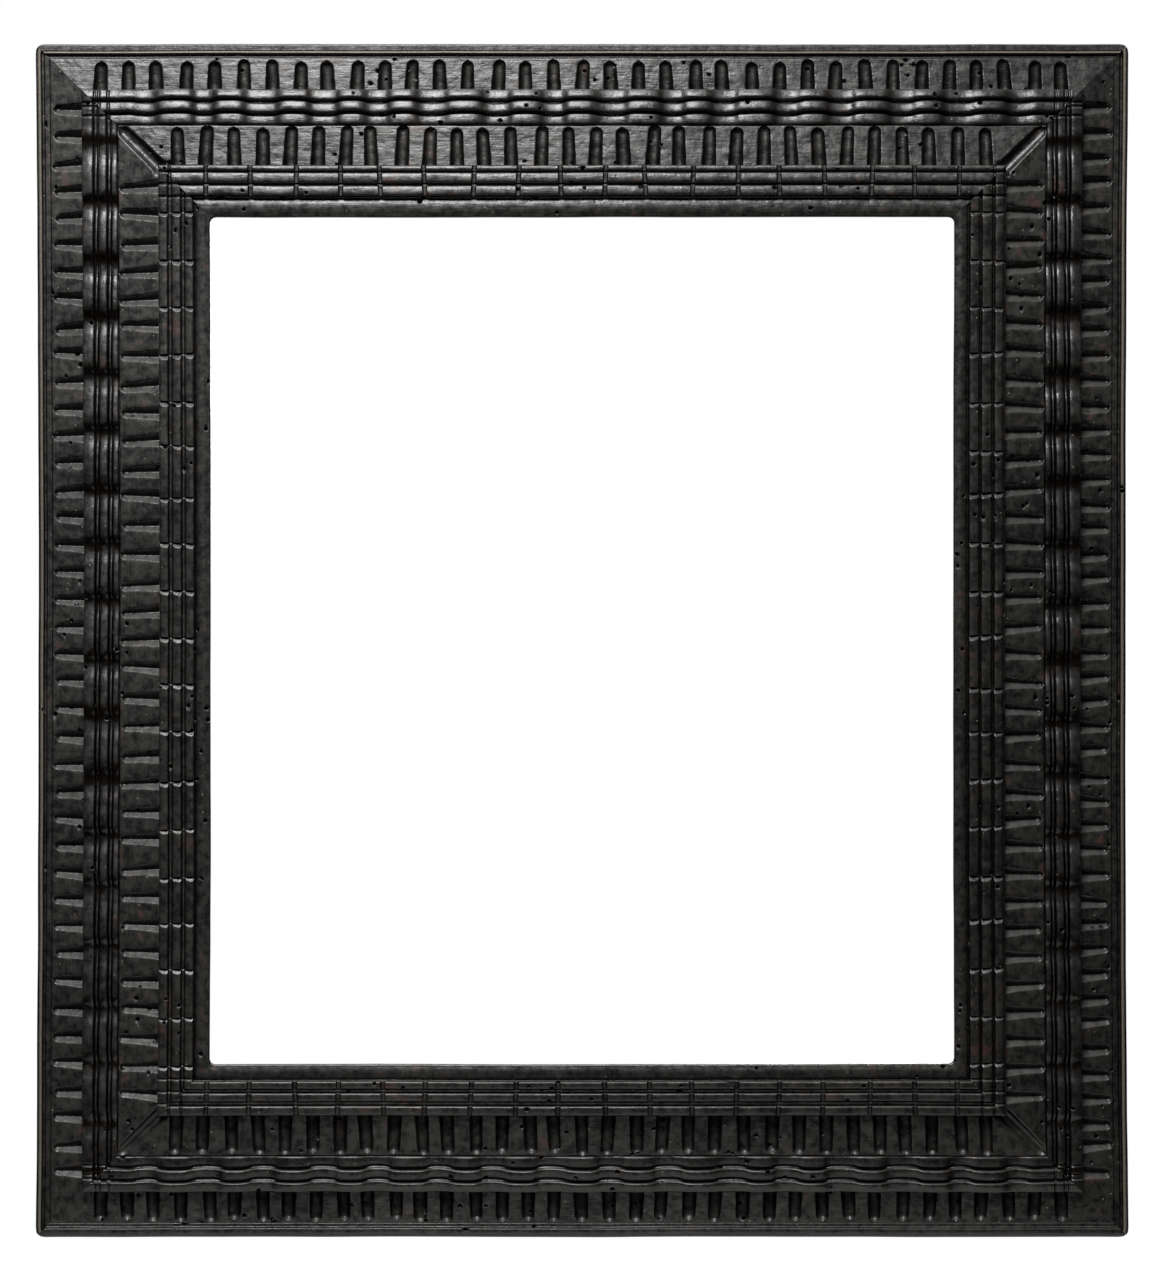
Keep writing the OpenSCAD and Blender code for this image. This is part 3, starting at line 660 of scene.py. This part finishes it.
wave_ground, wave_fall, wave_foot, wave_pitch = 9.0, 2.3, 7.0, 29.2
rail_reeds = ((0.1, 4.9, 1.5), (6.5, 4.8, 1.5), (12.8, 4.8, 1.3))
stile_reeds = ((0.1, 5.9, 1.6), (6.6, 1.2, 0.9), (8.5, 4.1, 1.6), (13.2, 1.1, 0.8),
               (14.9, 2.8, 1.2))
for side, node, lie, half, width, top in lengths("wave_moulding"):
    path, lean = [], (0.36, 0.2)[side % 2]
    for start, reed_w, rise in (rail_reeds, stile_reeds)[side % 2]:
        path += full_reed(start, reed_w, rise, lean, 0.15,
                          lambda u: wave_ground - wave_fall * (u / width) ** 2)
    path += [(17.75, wave_foot), (width, wave_foot)]
    waves = round(2 * (half - width) / wave_pitch)
    start = outline(node, [(0.0, 0.0), *path, (width, 0.0)])
    # Each side sets its smudges below the slopes that turn from the light above: painted shade on
    # old soot, blackest on the stiles
    carved(f"waved_{node}", node, start, tree, "frame", "ebonised_wave", Finish=wave_finish,
           Seed=60 + side, Width=width, Waves=waves, **lie,
           **(dict(Sway=0.8, Smudge_At=1.6 * (1 - side)) if side % 2 == 0 else
              dict(Sway=0.1, Long_Crests=0.3, Steepness=1.5, Depth=3.2, Skew=0.55 * (side - 2),
                   Smudge_At=-1.9 * (side - 2), Soot=0.9)))


# Sight moulding. Reeds beside a plain fillet that laps over the picture; a knife and
# a scratch stock have cut across the reeds to leave rows of small bars. Each side is
# its own length, with its reeds, its thin beads and its cuts where its maker set them.
reed_h, reed_rise, fillet_h, arris_r = 14.8, 1.5, 12.2, 1.2
reed_ground = reed_h - reed_rise
side_bars = (((0.1, 2.7), (3.7, 5.0), (10.1, 5.0)),
             ((1.0, 4.5), (6.6, 5.4), (13.0, 4.9)),
             ((0.2, 4.6), (5.6, 0.9), (7.2, 4.0), (11.9, 0.9), (13.4, 3.7)),
             ((0.2, 4.6), (5.3, 0.9), (6.7, 4.6), (11.8, 0.9), (13.1, 4.4)))
fillet_starts = (16.6, 18.8, 17.9, 18.3)
cut_inset, undercut = 24.4, 2.0
cut_pitches = (21.6, 23.4, 21.6, 23.4)
# How far from the end each crossing quirk lies; one at -9 isn't there
crossings = ((5.7, -9.0, -9.0), (6.2, 12.3, 18.3), (5.7, 11.6, -9.0), (3.3, 9.4, 15.7))
end_shift = (0.0, -2.9, 0.0, 2.9)
for side, node, lie, half, width, top in lengths("sight_moulding"):
    path = [(0.0, reed_ground)]
    for start, reed_w in side_bars[side]:
        # A thin one is a bead, and stands lower
        rise = reed_rise - 0.1 if reed_w > 2 else 0.2
        path += full_reed(start, reed_w, rise, 0.13, 0.2, lambda u: reed_ground)
    fillet_u = fillet_starts[side]
    path += [(fillet_u - 0.5, fillet_h - 1.1), (fillet_u - 0.1, fillet_h - 1.1)]
    for t in np.linspace(0, 1, 12):
        across = fillet_u + t * (width - arris_r - fillet_u)
        path.append((across, fillet_h - (1.7 * t - 0.9) ** 2))
    path += arc((width - arris_r, fillet_h - 0.64 - arris_r), arris_r, 75, 0, 6)
    run = 2 * (half - cut_inset)
    gaps = round(run / cut_pitches[side])
    # Scratched square across the rails, and chipped down at a slant on the stiles
    cut_depth, cut_r, cut_flat = ((1.5, 1.0, 0.25), (1.8, 0.1, 1.55))[side % 2]
    # Undercut, so that the lip looks thin
    start = outline(node, [(0.0, 0.0), *path, (width - undercut, 0.0)])
    carved(f"cut_{node}", node, start, flute_tree, "frame", "ebonised_moulding",
           Finish=moulding_finish, Seed=80 + side, Width=width, Flutes=gaps + 1, Pitch=run / gaps,
           Columns=34, Corner_Rings=52, Radius=cut_r, Flat=cut_flat, Land=0.3, End_Gap=3.5,
           Start=-5.0, Slant=0.68 * (2 - side) * (side % 2), Floor_Outer=reed_h - cut_depth,
           Floor_Inner=reed_h - cut_depth, Line_Depth=1.2, Line_Shift=end_shift[side],
           Line_1=crossings[side][0], Line_2=crossings[side][1], Line_3=crossings[side][2], **lie)


# Back frame. Two rails and two stiles of pine, sawn and hand-planed, half-lapped at
# the corners; their outer edges were stained black together with the front.
def old_pine(name):
    """Bare pine two centuries old, with black stain on its outer edges."""
    # Flat-sawn board: pale early wood between dark late-wood lines that arch along the
    # face and swerve round knots, browned by air, with saw marks across and dirt
    material, tree = blank(name)
    along = stored(tree, "along", "Vector")
    across, stain, hole = (stored(tree, name) for name in ("across", "stain", "hole"))
    place = add(tree, "VectorMath", along, (1000, 1000, 1000), operation="MULTIPLY")
    x, y, z = add(tree, "SeparateXYZ", place).node.outputs
    # Knots about 14 mm across, one to each 110 mm of board
    knot_at = add(tree, "CombineXYZ", (x, "/", 110.0), (across, "/", 60.0), (y, "/", 110.0))
    knot_at = add(tree, "TexVoronoi", knot_at, 1.0).node.outputs["Distance"]
    knot = add(tree, "MapRange", knot_at, 0.02, 0.055, 1.0, 0.0)
    round_knot = add(tree, "MapRange", knot_at, 0.03, 0.22, 1.0, 0.0)
    swerve = add(tree, "TexNoise",
                 add(tree, "Mapping", place, None, None, (1 / 170, 1 / 30, 1 / 30)), 1.0, 2.0, 0.5)
    # Growth rings 2.6 mm apart round a pith that leans away behind the board
    from_pith = ("SQRT", (((across, "-", 33.0), "POWER", 2.0), "+", ((y, "+", 34.0), "POWER", 2.0)))
    waving = ((from_pith, "+", (swerve, "*", 22.0)), "+", (round_knot, "*", 9.0))
    late = add(tree, "MapRange", ("FRACT", (waving, "/", 2.6)), 0.35, 0.95)
    fibre = add(tree, "TexNoise",
                add(tree, "Mapping", place, None, None, (1 / 9, 1 / 0.5, 1 / 0.5)), 1.0, 3.0, 0.6)
    dirt = add(tree, "TexNoise", place, 1 / 28, 4.0, 0.6)
    sawn = ("SINE", ((x, "+", (across, "*", 0.14)), "*", math.tau / 3.3))
    sawn = add(tree, (sawn, "*", add(tree, "MapRange", dirt, 0.48, 0.62, 0.0, 1.0)))
    dark = (add(tree, "MapRange", fibre, 0.3, 0.75), "*", 0.35)
    grey = add(tree, "MapRange", dirt, 0.42, 0.68, 0.0, 0.75)
    ragged = (stain, "+", ((dirt, "-", 0.5), "*", 0.9))
    stained = add(tree, "MapRange", (ragged, "+", ((fibre, "-", 0.5), "*", 0.5)), 0.4, 0.55)
    # Over the early wood lie late wood, dark fibres, knots, grey dirt, stain, and painted
    # near-black shade in the holes
    wood = coated(tree, "#8a6b49", (
        (late, "#5b3e25"), (dark, "#3d2b1c"), ((knot, "*", 0.8), "#341f12"), (grey, "#4d4034"),
        (stained, "#151311"), (hole, "#120b06")))
    dull = add(tree, "MapRange", stained, 0.0, 1.0, 0.82, 0.6)
    # Late wood stands 0.1 mm proud, saw marks 0.06 mm
    marks = (((late, "*", 0.5), "+", (fibre, "*", 0.5)), "+", (sawn, "*", 0.25))
    surface(tree, wood, dull, marks, 0.0002)
    return material


pine = old_pine("old pine")
# Shoulders and laps stand 0.1 mm apart, and the pegs 0.2 mm from their holes
peg_d, peg_gap, half_gap = 7.0, 0.2, 0.05
tree, given = carving_tree("half-lapped board", Width=79.5, Lap=10.0, Front=1.0, Lap_Rings=24,
                           Rings=180)
bar, ring, u, height = swept(tree, given, given["Rings"])
last_ring = add(tree, (given["Rings"], "-", 1.0))
back_ring = add(tree, (last_ring, "-", ring))
lap_w, lap_rings = given["Width"], given["Lap Rings"]
x = add(tree, "MapRange", ring, (lap_rings, "+", 1.0), ((last_ring, "-", lap_rings), "-", 1.0),
        ((lap_w, "-", given["Half"]), "+", half_gap), ((given["Half"], "-", lap_w), "-", half_gap))
for sign, from_tip in ((-1.0, ring), (1.0, back_ring)):
    # The lap's shoulder is where two rings stand 0.05 mm apart
    lap = add(tree, "MapRange", from_tip, 0.0, lap_rings, lap_w, 0.0)
    lapped = (from_tip, "<", (lap_rings, "+", 0.5))
    x = (x, "+", (((lap, "+", half_gap), "*", lapped), "*", sign))
x = add(tree, x)
at_lap = ((("ABSOLUTE", x), "-", (given["Half"], "-", lap_w)), ">", -0.02)
front_half = ((height, "MAXIMUM", (given["Lap"], "+", half_gap)), "-", height)
back_half = ((height, "MINIMUM", (given["Lap"], "-", half_gap)), "-", height)
removed = ((front_half, "*", given["Front"]), "+", (back_half, "*", (1.0, "-", given["Front"])))
height = add(tree, (height, "+", (at_lap, "*", removed)))
stained_side = add(tree, "MapRange", u, 0.8, 4.0, 1.0, 0.0)
stained_end = add(tree, "MapRange", (given["Half"], "-", ("ABSOLUTE", x)), 0.8, 4.0, 1.0, 0.0)
drill = add(tree, "MeshCylinder", 40, None, None, peg_d / 2 + peg_gap, 60.0)
peg_x = add(tree, (given["Half"], "-", (lap_w, "*", 0.5)))
peg_places = add(tree, "MeshLine", 2,
                 add(tree, "CombineXYZ", peg_x, -10.0, (given["Reach"], "-", (lap_w, "*", 0.5))),
                 add(tree, "CombineXYZ", (peg_x, "*", -2.0), 0.0, 0.0))
drills = add(tree, "InstanceOnPoints", peg_places, None, drill, None, None, (math.pi / 2, 0.0, 0.0))
finished(tree, given, bar, x, u, height, 0.0, (stained_side, "MAXIMUM", stained_end),
         add(tree, "RealizeInstances", drills))
boards = ("rail_top", "stile_right", "rail_bottom", "stile_left")
for side, node, lie, half, width, top in lengths("back", boards):
    loop = fine([(0.0, 0.9), (0.0, back_t - 0.2), (0.2, back_t), (width - 0.5, back_t),
                 (width, back_t - 0.5), (width, 0.7), (width - 0.7, 0.0), (0.9, 0.0)], 3.2)
    carved(f"pine_{node}", node, outline(node, loop), tree, "frame", "back_softwood", Finish=pine,
           Seed=100 + side, Width=width, Lap=back_t / 2, Front=1.0 - side % 2, Holes=0.0009,
           **{**lie, "Back": 0.0})


# Corner pegs. Riven oak, whittled to eight sides and driven through the laps, cut
# off almost flush with the back.
def end_grain_oak(name):
    """Oak cut across."""
    # Dull brown end grain: years as rings round a heart beside the peg, with dark
    # pores, under dirt that has filled the saw's roughness
    material, tree = blank(name)
    place = stored(tree, "along", "Vector")
    x, y, z = add(tree, "SeparateXYZ", place).node.outputs
    # Years 1.1 mm wide and pores 0.35 mm apart, in the peg's own millimetres
    from_heart = ("SQRT", (((x, "+", 5.0), "POWER", 2.0), "+", (y, "POWER", 2.0)))
    years = ("SINE", (from_heart, "*", math.tau / 1.1))
    pores = add(tree, "TexVoronoi", place, 1 / 0.35).node.outputs["Distance"]
    dirt = add(tree, "TexNoise", place, 0.5, 3.0, 0.6)
    late = add(tree, "MapRange", years, -0.2, 1.0, 0.0, 0.6)
    pore = add(tree, "MapRange", pores, 0.1, 0.35, 0.7, 0.0)
    grime = add(tree, "MapRange", dirt, 0.4, 0.7, 0.0, 0.7)
    wood = coated(tree, "#6d4f31", ((late, "#432c19"), (pore, "#24160c"), (grime, "#33261b")))
    surface(tree, wood, 0.72, (pore, "*", -1.0), 0.00012)
    return material


tree, given = carving_tree("whittled pegs", mitred_bar=False, Radius=3.5, Length=20.4)
peg = add(tree, "MeshCylinder", 48, 12, 6, given["Radius"], given["Length"])
position = add(tree, "InputPosition")
x, y, z = add(tree, "SeparateXYZ", position).node.outputs
facet_turn = math.pi / 4
facet = ((("ARCTAN2", y, x), "/", facet_turn), "+", 8.5)
facet = ((("FRACT", facet), "-", 0.5), "*", facet_turn)
flat = add(tree, (math.cos(facet_turn / 2), "/", ("COSINE", facet)))
tip = (("ABSOLUTE", z), "-", (given["Length"], "*", 0.5))
tip = add(tree, "MapRange", tip, -0.5, 0.0, 1.0, 0.9)
knife = add(tree, "TexNoise", position, 0.3, 2.0)
slim = add(tree, ((flat, "*", tip), "*", (0.94, "+", (knife, "*", 0.12))))
peg = add(tree, "SetPosition", peg, None, add(
    tree, "CombineXYZ", (x, "*", slim), (y, "*", slim), (z, "+", ((knife, "-", 0.5), "*", 0.3))))
peg = add(tree, "StoreNamedAttribute", peg, None, "along", position, data_type="FLOAT_VECTOR")
spin = add(tree, "RandomValue", 0.0, 3.0, None, 7)
pegs = add(tree, "InstanceOnPoints", given["Outline"], None, peg, None, None,
           add(tree, "CombineXYZ", math.pi / 2, spin, 0.0))
pegs = add(tree, "RealizeInstances", pegs)
pegs = add(tree, "SetPosition", pegs, None, None, warp(tree))
hand_over(tree, given, pegs, smooth=False)


def four_places(name, x, y, z):
    """Points left and right, low and high, each for a peg or a screw."""
    mesh = bpy.data.meshes.new(name)
    mesh.from_pydata([(i * x, y, k * z) for i in (-1, 1) for k in (-1, 1)], [], [])
    return mesh


low, high = box_mm("corner_pegs")
places = four_places("peg places", high[0] - peg_d / 2, 0.1 - back_t / 2, high[2] - peg_d / 2)
carved("whittled_pegs", "corner_pegs", places, tree, "frame", "peg_oak",
       Finish=end_grain_oak("oak, end grain"), Radius=peg_d / 2, Length=back_t + 0.3)


# Hanging ring and its staple. Drawn iron wire, heated and bent by a smith; the
# ring's ends are only butted. Both have gone black and rusted in patches.
def black_iron(name, face, rust, rusty):
    """Iron with a black skin that rust has lifted in patches."""
    # Satin black-brown metal and matt orange-brown crusts
    material, tree = blank(name)
    place = add(tree, "TexCoord").node.outputs["Object"]
    # Rust patches 3 mm wide, pits 0.3 mm
    patches = add(tree, "TexNoise", place, 1000 / 3, 5.0, 0.65)
    pits = add(tree, "TexNoise", place, 1000 / 0.3, 3.0, 0.6)
    crust = add(tree, "MapRange", patches, rusty, rusty + 0.09, 0.0, 1.0)
    skin = coated(tree, face, ((pits, "#2a2420"),))
    crusted = coated(tree, rust, ((pits, "#2b170d"),))
    colour = add(tree, "Mix", crust, skin, crusted, data_type="RGBA")
    metal = add(tree, "MapRange", crust, 0.0, 1.0, 1.0, 0.0)
    rough = add(tree, "MapRange", (crust, "+", (pits, "*", 0.5)), 0.1, 1.2, 0.42, 0.9)
    surface(tree, colour, rough, ((pits, "*", 0.6), "+", (crust, "*", 0.8)), 0.00012, metal, 1.5)
    return material


tree, given = carving_tree("bent wire", mitred_bar=False, Radius=1.5, Hammering=0.12)
wire = add(tree, "CurveToMesh", add(tree, "MeshToCurve", given["Outline"]),
           add(tree, "CurvePrimitiveCircle", 20, given["Radius"]), None, True)
dents = add(tree, "TexNoise", add(tree, "InputPosition"), 0.35, 2.0)
dents = ((dents, "-", 1.0), "*", given["Hammering"])
out = add(tree, "VectorMath", add(tree, "InputNormal"), dents, operation="SCALE")
hand_over(tree, given, add(tree, "SetPosition", wire, None, None, out))

iron = black_iron("forged iron, black and rusted", "#3b352f", "#55301a", 0.5)


def line_mesh(name, points):
    """A mesh of edges from point to point."""
    mesh = bpy.data.meshes.new(name)
    mesh.from_pydata(points, [(i, i + 1) for i in range(len(points) - 1)], [])
    return mesh


low, high = box_mm("hanging_ring")
wire_r = (high[1] - low[1]) / 2
ring_r, ring_y, ring_z = (high[0] - low[0]) / 2 - wire_r, low[1] + wire_r, (low[2] + high[2]) / 2
# The ends meet 55 degrees below the right side, 1.4 degrees apart
butt, butt_at = 0.7, -55
round_ring = [(ring_r * math.cos(a), ring_y, ring_z + ring_r * math.sin(a))
              for a in np.radians(np.linspace(butt + butt_at, 360 - butt + butt_at, 110))]
carved("bent_ring", "hanging_ring", line_mesh("ring path", round_ring), tree, "ring", "forged_iron",
       Finish=iron, Radius=wire_r, Hammering=0.3)

low, high = box_mm("ring_staple")
staple_wire = high[0]
arch_r = (high[2] - low[2]) / 2 - staple_wire
arch_z = (high[2] + low[2]) / 2
arch_y = high[1] - staple_wire - arch_r
arch = arc((arch_z, arch_y), arch_r, 0, 180, 24)
staple = [(0.0, y, arch_z + arch_r) for y in np.linspace(low[1], arch_y, 14)[:-1]]
staple += [(0.0, y, z) for z, y in arch]
staple += [(0.0, y, arch_z - arch_r) for y in np.linspace(arch_y, low[1], 14)[1:]]
carved("bent_staple", "ring_staple", line_mesh("staple path", staple), tree, "frame", "forged_iron",
       Finish=iron, Radius=staple_wire, Hammering=0.25)


# Turn buttons. Four slips of beech, sawn, rounded at the ends and chamfered with a
# knife; fingers have darkened their edges.
def handled_beech(name):
    """Bare beech, flecked, and darkened by handling."""
    # Even pinkish-tan wood with short dark flecks; grease on the edges and the ends
    material, tree = blank(name)
    place = add(tree, "TexCoord").node.outputs["Object"]
    at = stored(tree, "edge")
    # Flecks 0.5 x 2.5 mm, grain 0.4 x 15 mm; the grain runs up the button
    fleck_at = add(tree, "Mapping", place, None, None, (1000 / 0.9, 1000 / 0.9, 1000 / 3.2))
    flecks = add(tree, "TexVoronoi", fleck_at, 1.0)
    fleck = add(tree, "MapRange", flecks.node.outputs["Distance"], 0.12, 0.3, 0.8, 0.0)
    grain_at = add(tree, "Mapping", place, None, None, (1000 / 0.4, 1000 / 0.4, 1000 / 15))
    grain = add(tree, "TexNoise", grain_at, 1.0, 3.0, 0.6)
    grease = add(tree, "TexNoise", place, 1000 / 6, 4.0, 0.6)
    worn = add(tree, "MapRange", ((at, "*", 0.5), "+", grease), 0.5, 0.95, 0.0, 0.85)
    wood = coated(tree, "#93673f", ((grain, "#6f4a2b"), (fleck, "#4f311b"), (worn, "#382517")))
    rough = add(tree, "MapRange", worn, 0.0, 1.0, 0.7, 0.45)
    surface(tree, wood, rough, ((grain, "*", 0.8), "-", (fleck, "*", 0.5)), 0.0001)
    return material


beech = handled_beech("handled beech")
# Rings from the hole over the underside, the rim and the top, back to the hole: how
# far out each lies, and how high
button_rings = ((0.0, 0.0), (0.3, 0.0), (0.62, 0.0), (0.9, 0.0), (0.97, 0.06), (1.0, 0.16),
                (1.0, 0.45), (1.0, 0.7), (0.97, 0.84), (0.92, 0.97), (0.88, 1.0), (0.6, 1.0),
                (0.3, 1.0), (0.0, 1.0))
around, hole_r = 120, 1.8
for number, where in enumerate(("upper_left", "lower_left", "upper_right", "lower_right")):
    node = f"turn_button_{where}"
    low, high = box_mm(node)
    centre, half = (low + high) / 2, (high - low) / 2
    points, edge = [], []
    for outward, rise in button_rings:
        for i in range(around):
            a = math.tau * i / around
            # Cut by the straight long sides and by the round ends
            rim = min(half[0] / max(abs(math.cos(a)), 1e-6), half[2])
            r = hole_r + (rim - hole_r) * outward
            spot = Vector((r * math.cos(a), low[1] + rise * 2 * half[1], r * math.sin(a)))
            cut = noise.noise(spot * 0.22 + Vector((9 * number, 0, 0)))
            inset = 1 - 0.02 * abs(cut) if outward > 0.8 else 1
            points.append(((centre[0] + spot.x * inset) / 1000,
                           (spot.y - 0.25 * abs(cut) * (rise > 0.5)) / 1000,
                           (centre[2] + spot.z * inset) / 1000))
            edge.append(min(1.0, max(0.0, (outward - 0.75) * 5)))
    total = len(button_rings)
    faces = [(n * around + i, n * around + (i + 1) % around,
              (n + 1) % total * around + (i + 1) % around, (n + 1) % total * around + i)
             for n in range(total) for i in range(around)]
    mesh = bpy.data.meshes.new(node)
    mesh.from_pydata(points, [], faces)
    mesh.attributes.new("edge", "FLOAT", "POINT").data.foreach_set("value", edge)
    mesh.shade_smooth()
    mesh.set_sharp_from_angle(angle=math.radians(35))
    mesh.materials.append(beech)
    button = bpy.data.objects.new(f"whittled_{node}", mesh)
    scene.collection.objects.link(button)
    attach(button, f"button_{where}")
    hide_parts(node)


# Button screws. Hand-filed iron wood screws with a domed head and a slot, turned
# home at four different angles.
head_r, dome_h, in_head = 3.7, 2.1, 0.4
tree, given = carving_tree("slotted screws", mitred_bar=False, Head=head_r, Dome=dome_h, Shank=1.75,
                           Length=17.6)
dome = add(tree, "MeshUVSphere", 48, 32, given["Head"])
x, y, z = add(tree, "SeparateXYZ", add(tree, "InputPosition")).node.outputs
flat = add(tree, (((z, "/", given["Head"]), "*", given["Dome"]), "MAXIMUM", 0.0))
dome = add(tree, "SetPosition", dome, None, add(tree, "CombineXYZ", x, y, flat))
dome = add(tree, "MergeByDistance", dome, None, 0.001)
blade = add(tree, "MeshCube", (12.0, 0.9, 2.0), 2, 2, 2)
blade = add(tree, "Transform", blade,
            add(tree, "CombineXYZ", 0.15, 0.1, (given["Dome"], "+", 0.05)))
dome = add(tree, "MeshBoolean", dome, blade, operation="DIFFERENCE", solver="MANIFOLD")
shank = add(tree, "MeshCylinder", 32, 8, 2, given["Shank"], given["Length"])
shank = add(tree, "Transform", shank,
            add(tree, "CombineXYZ", 0.0, 0.0, ((given["Length"], "*", -0.5), "+", in_head)))
join = tree.nodes.new("GeometryNodeJoinGeometry")
tree.links.new(dome, join.inputs[0])
tree.links.new(shank, join.inputs[0])
spin = add(tree, "RandomValue", 0.3, 2.9, None, 2)
screws = add(tree, "InstanceOnPoints", given["Outline"], None, join.outputs[0], None, None,
             add(tree, "CombineXYZ", -math.pi / 2, spin, 0.0))
hand_over(tree, given, add(tree, "RealizeInstances", screws), smooth=False)

low, high = box_mm("button_screws")
head_y = high[1] - dome_h
places = four_places("screw places", high[0] - head_r, head_y, high[2] - head_r)
carved("slotted_screws", "button_screws", places, tree, "frame", "screw_iron",
       Finish=black_iron("screw iron, dull and rusted", "#6b635a", "#5e3820", 0.56),
       Head=head_r, Dome=dome_h, Length=head_y - low[1] + in_head)


low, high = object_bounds()
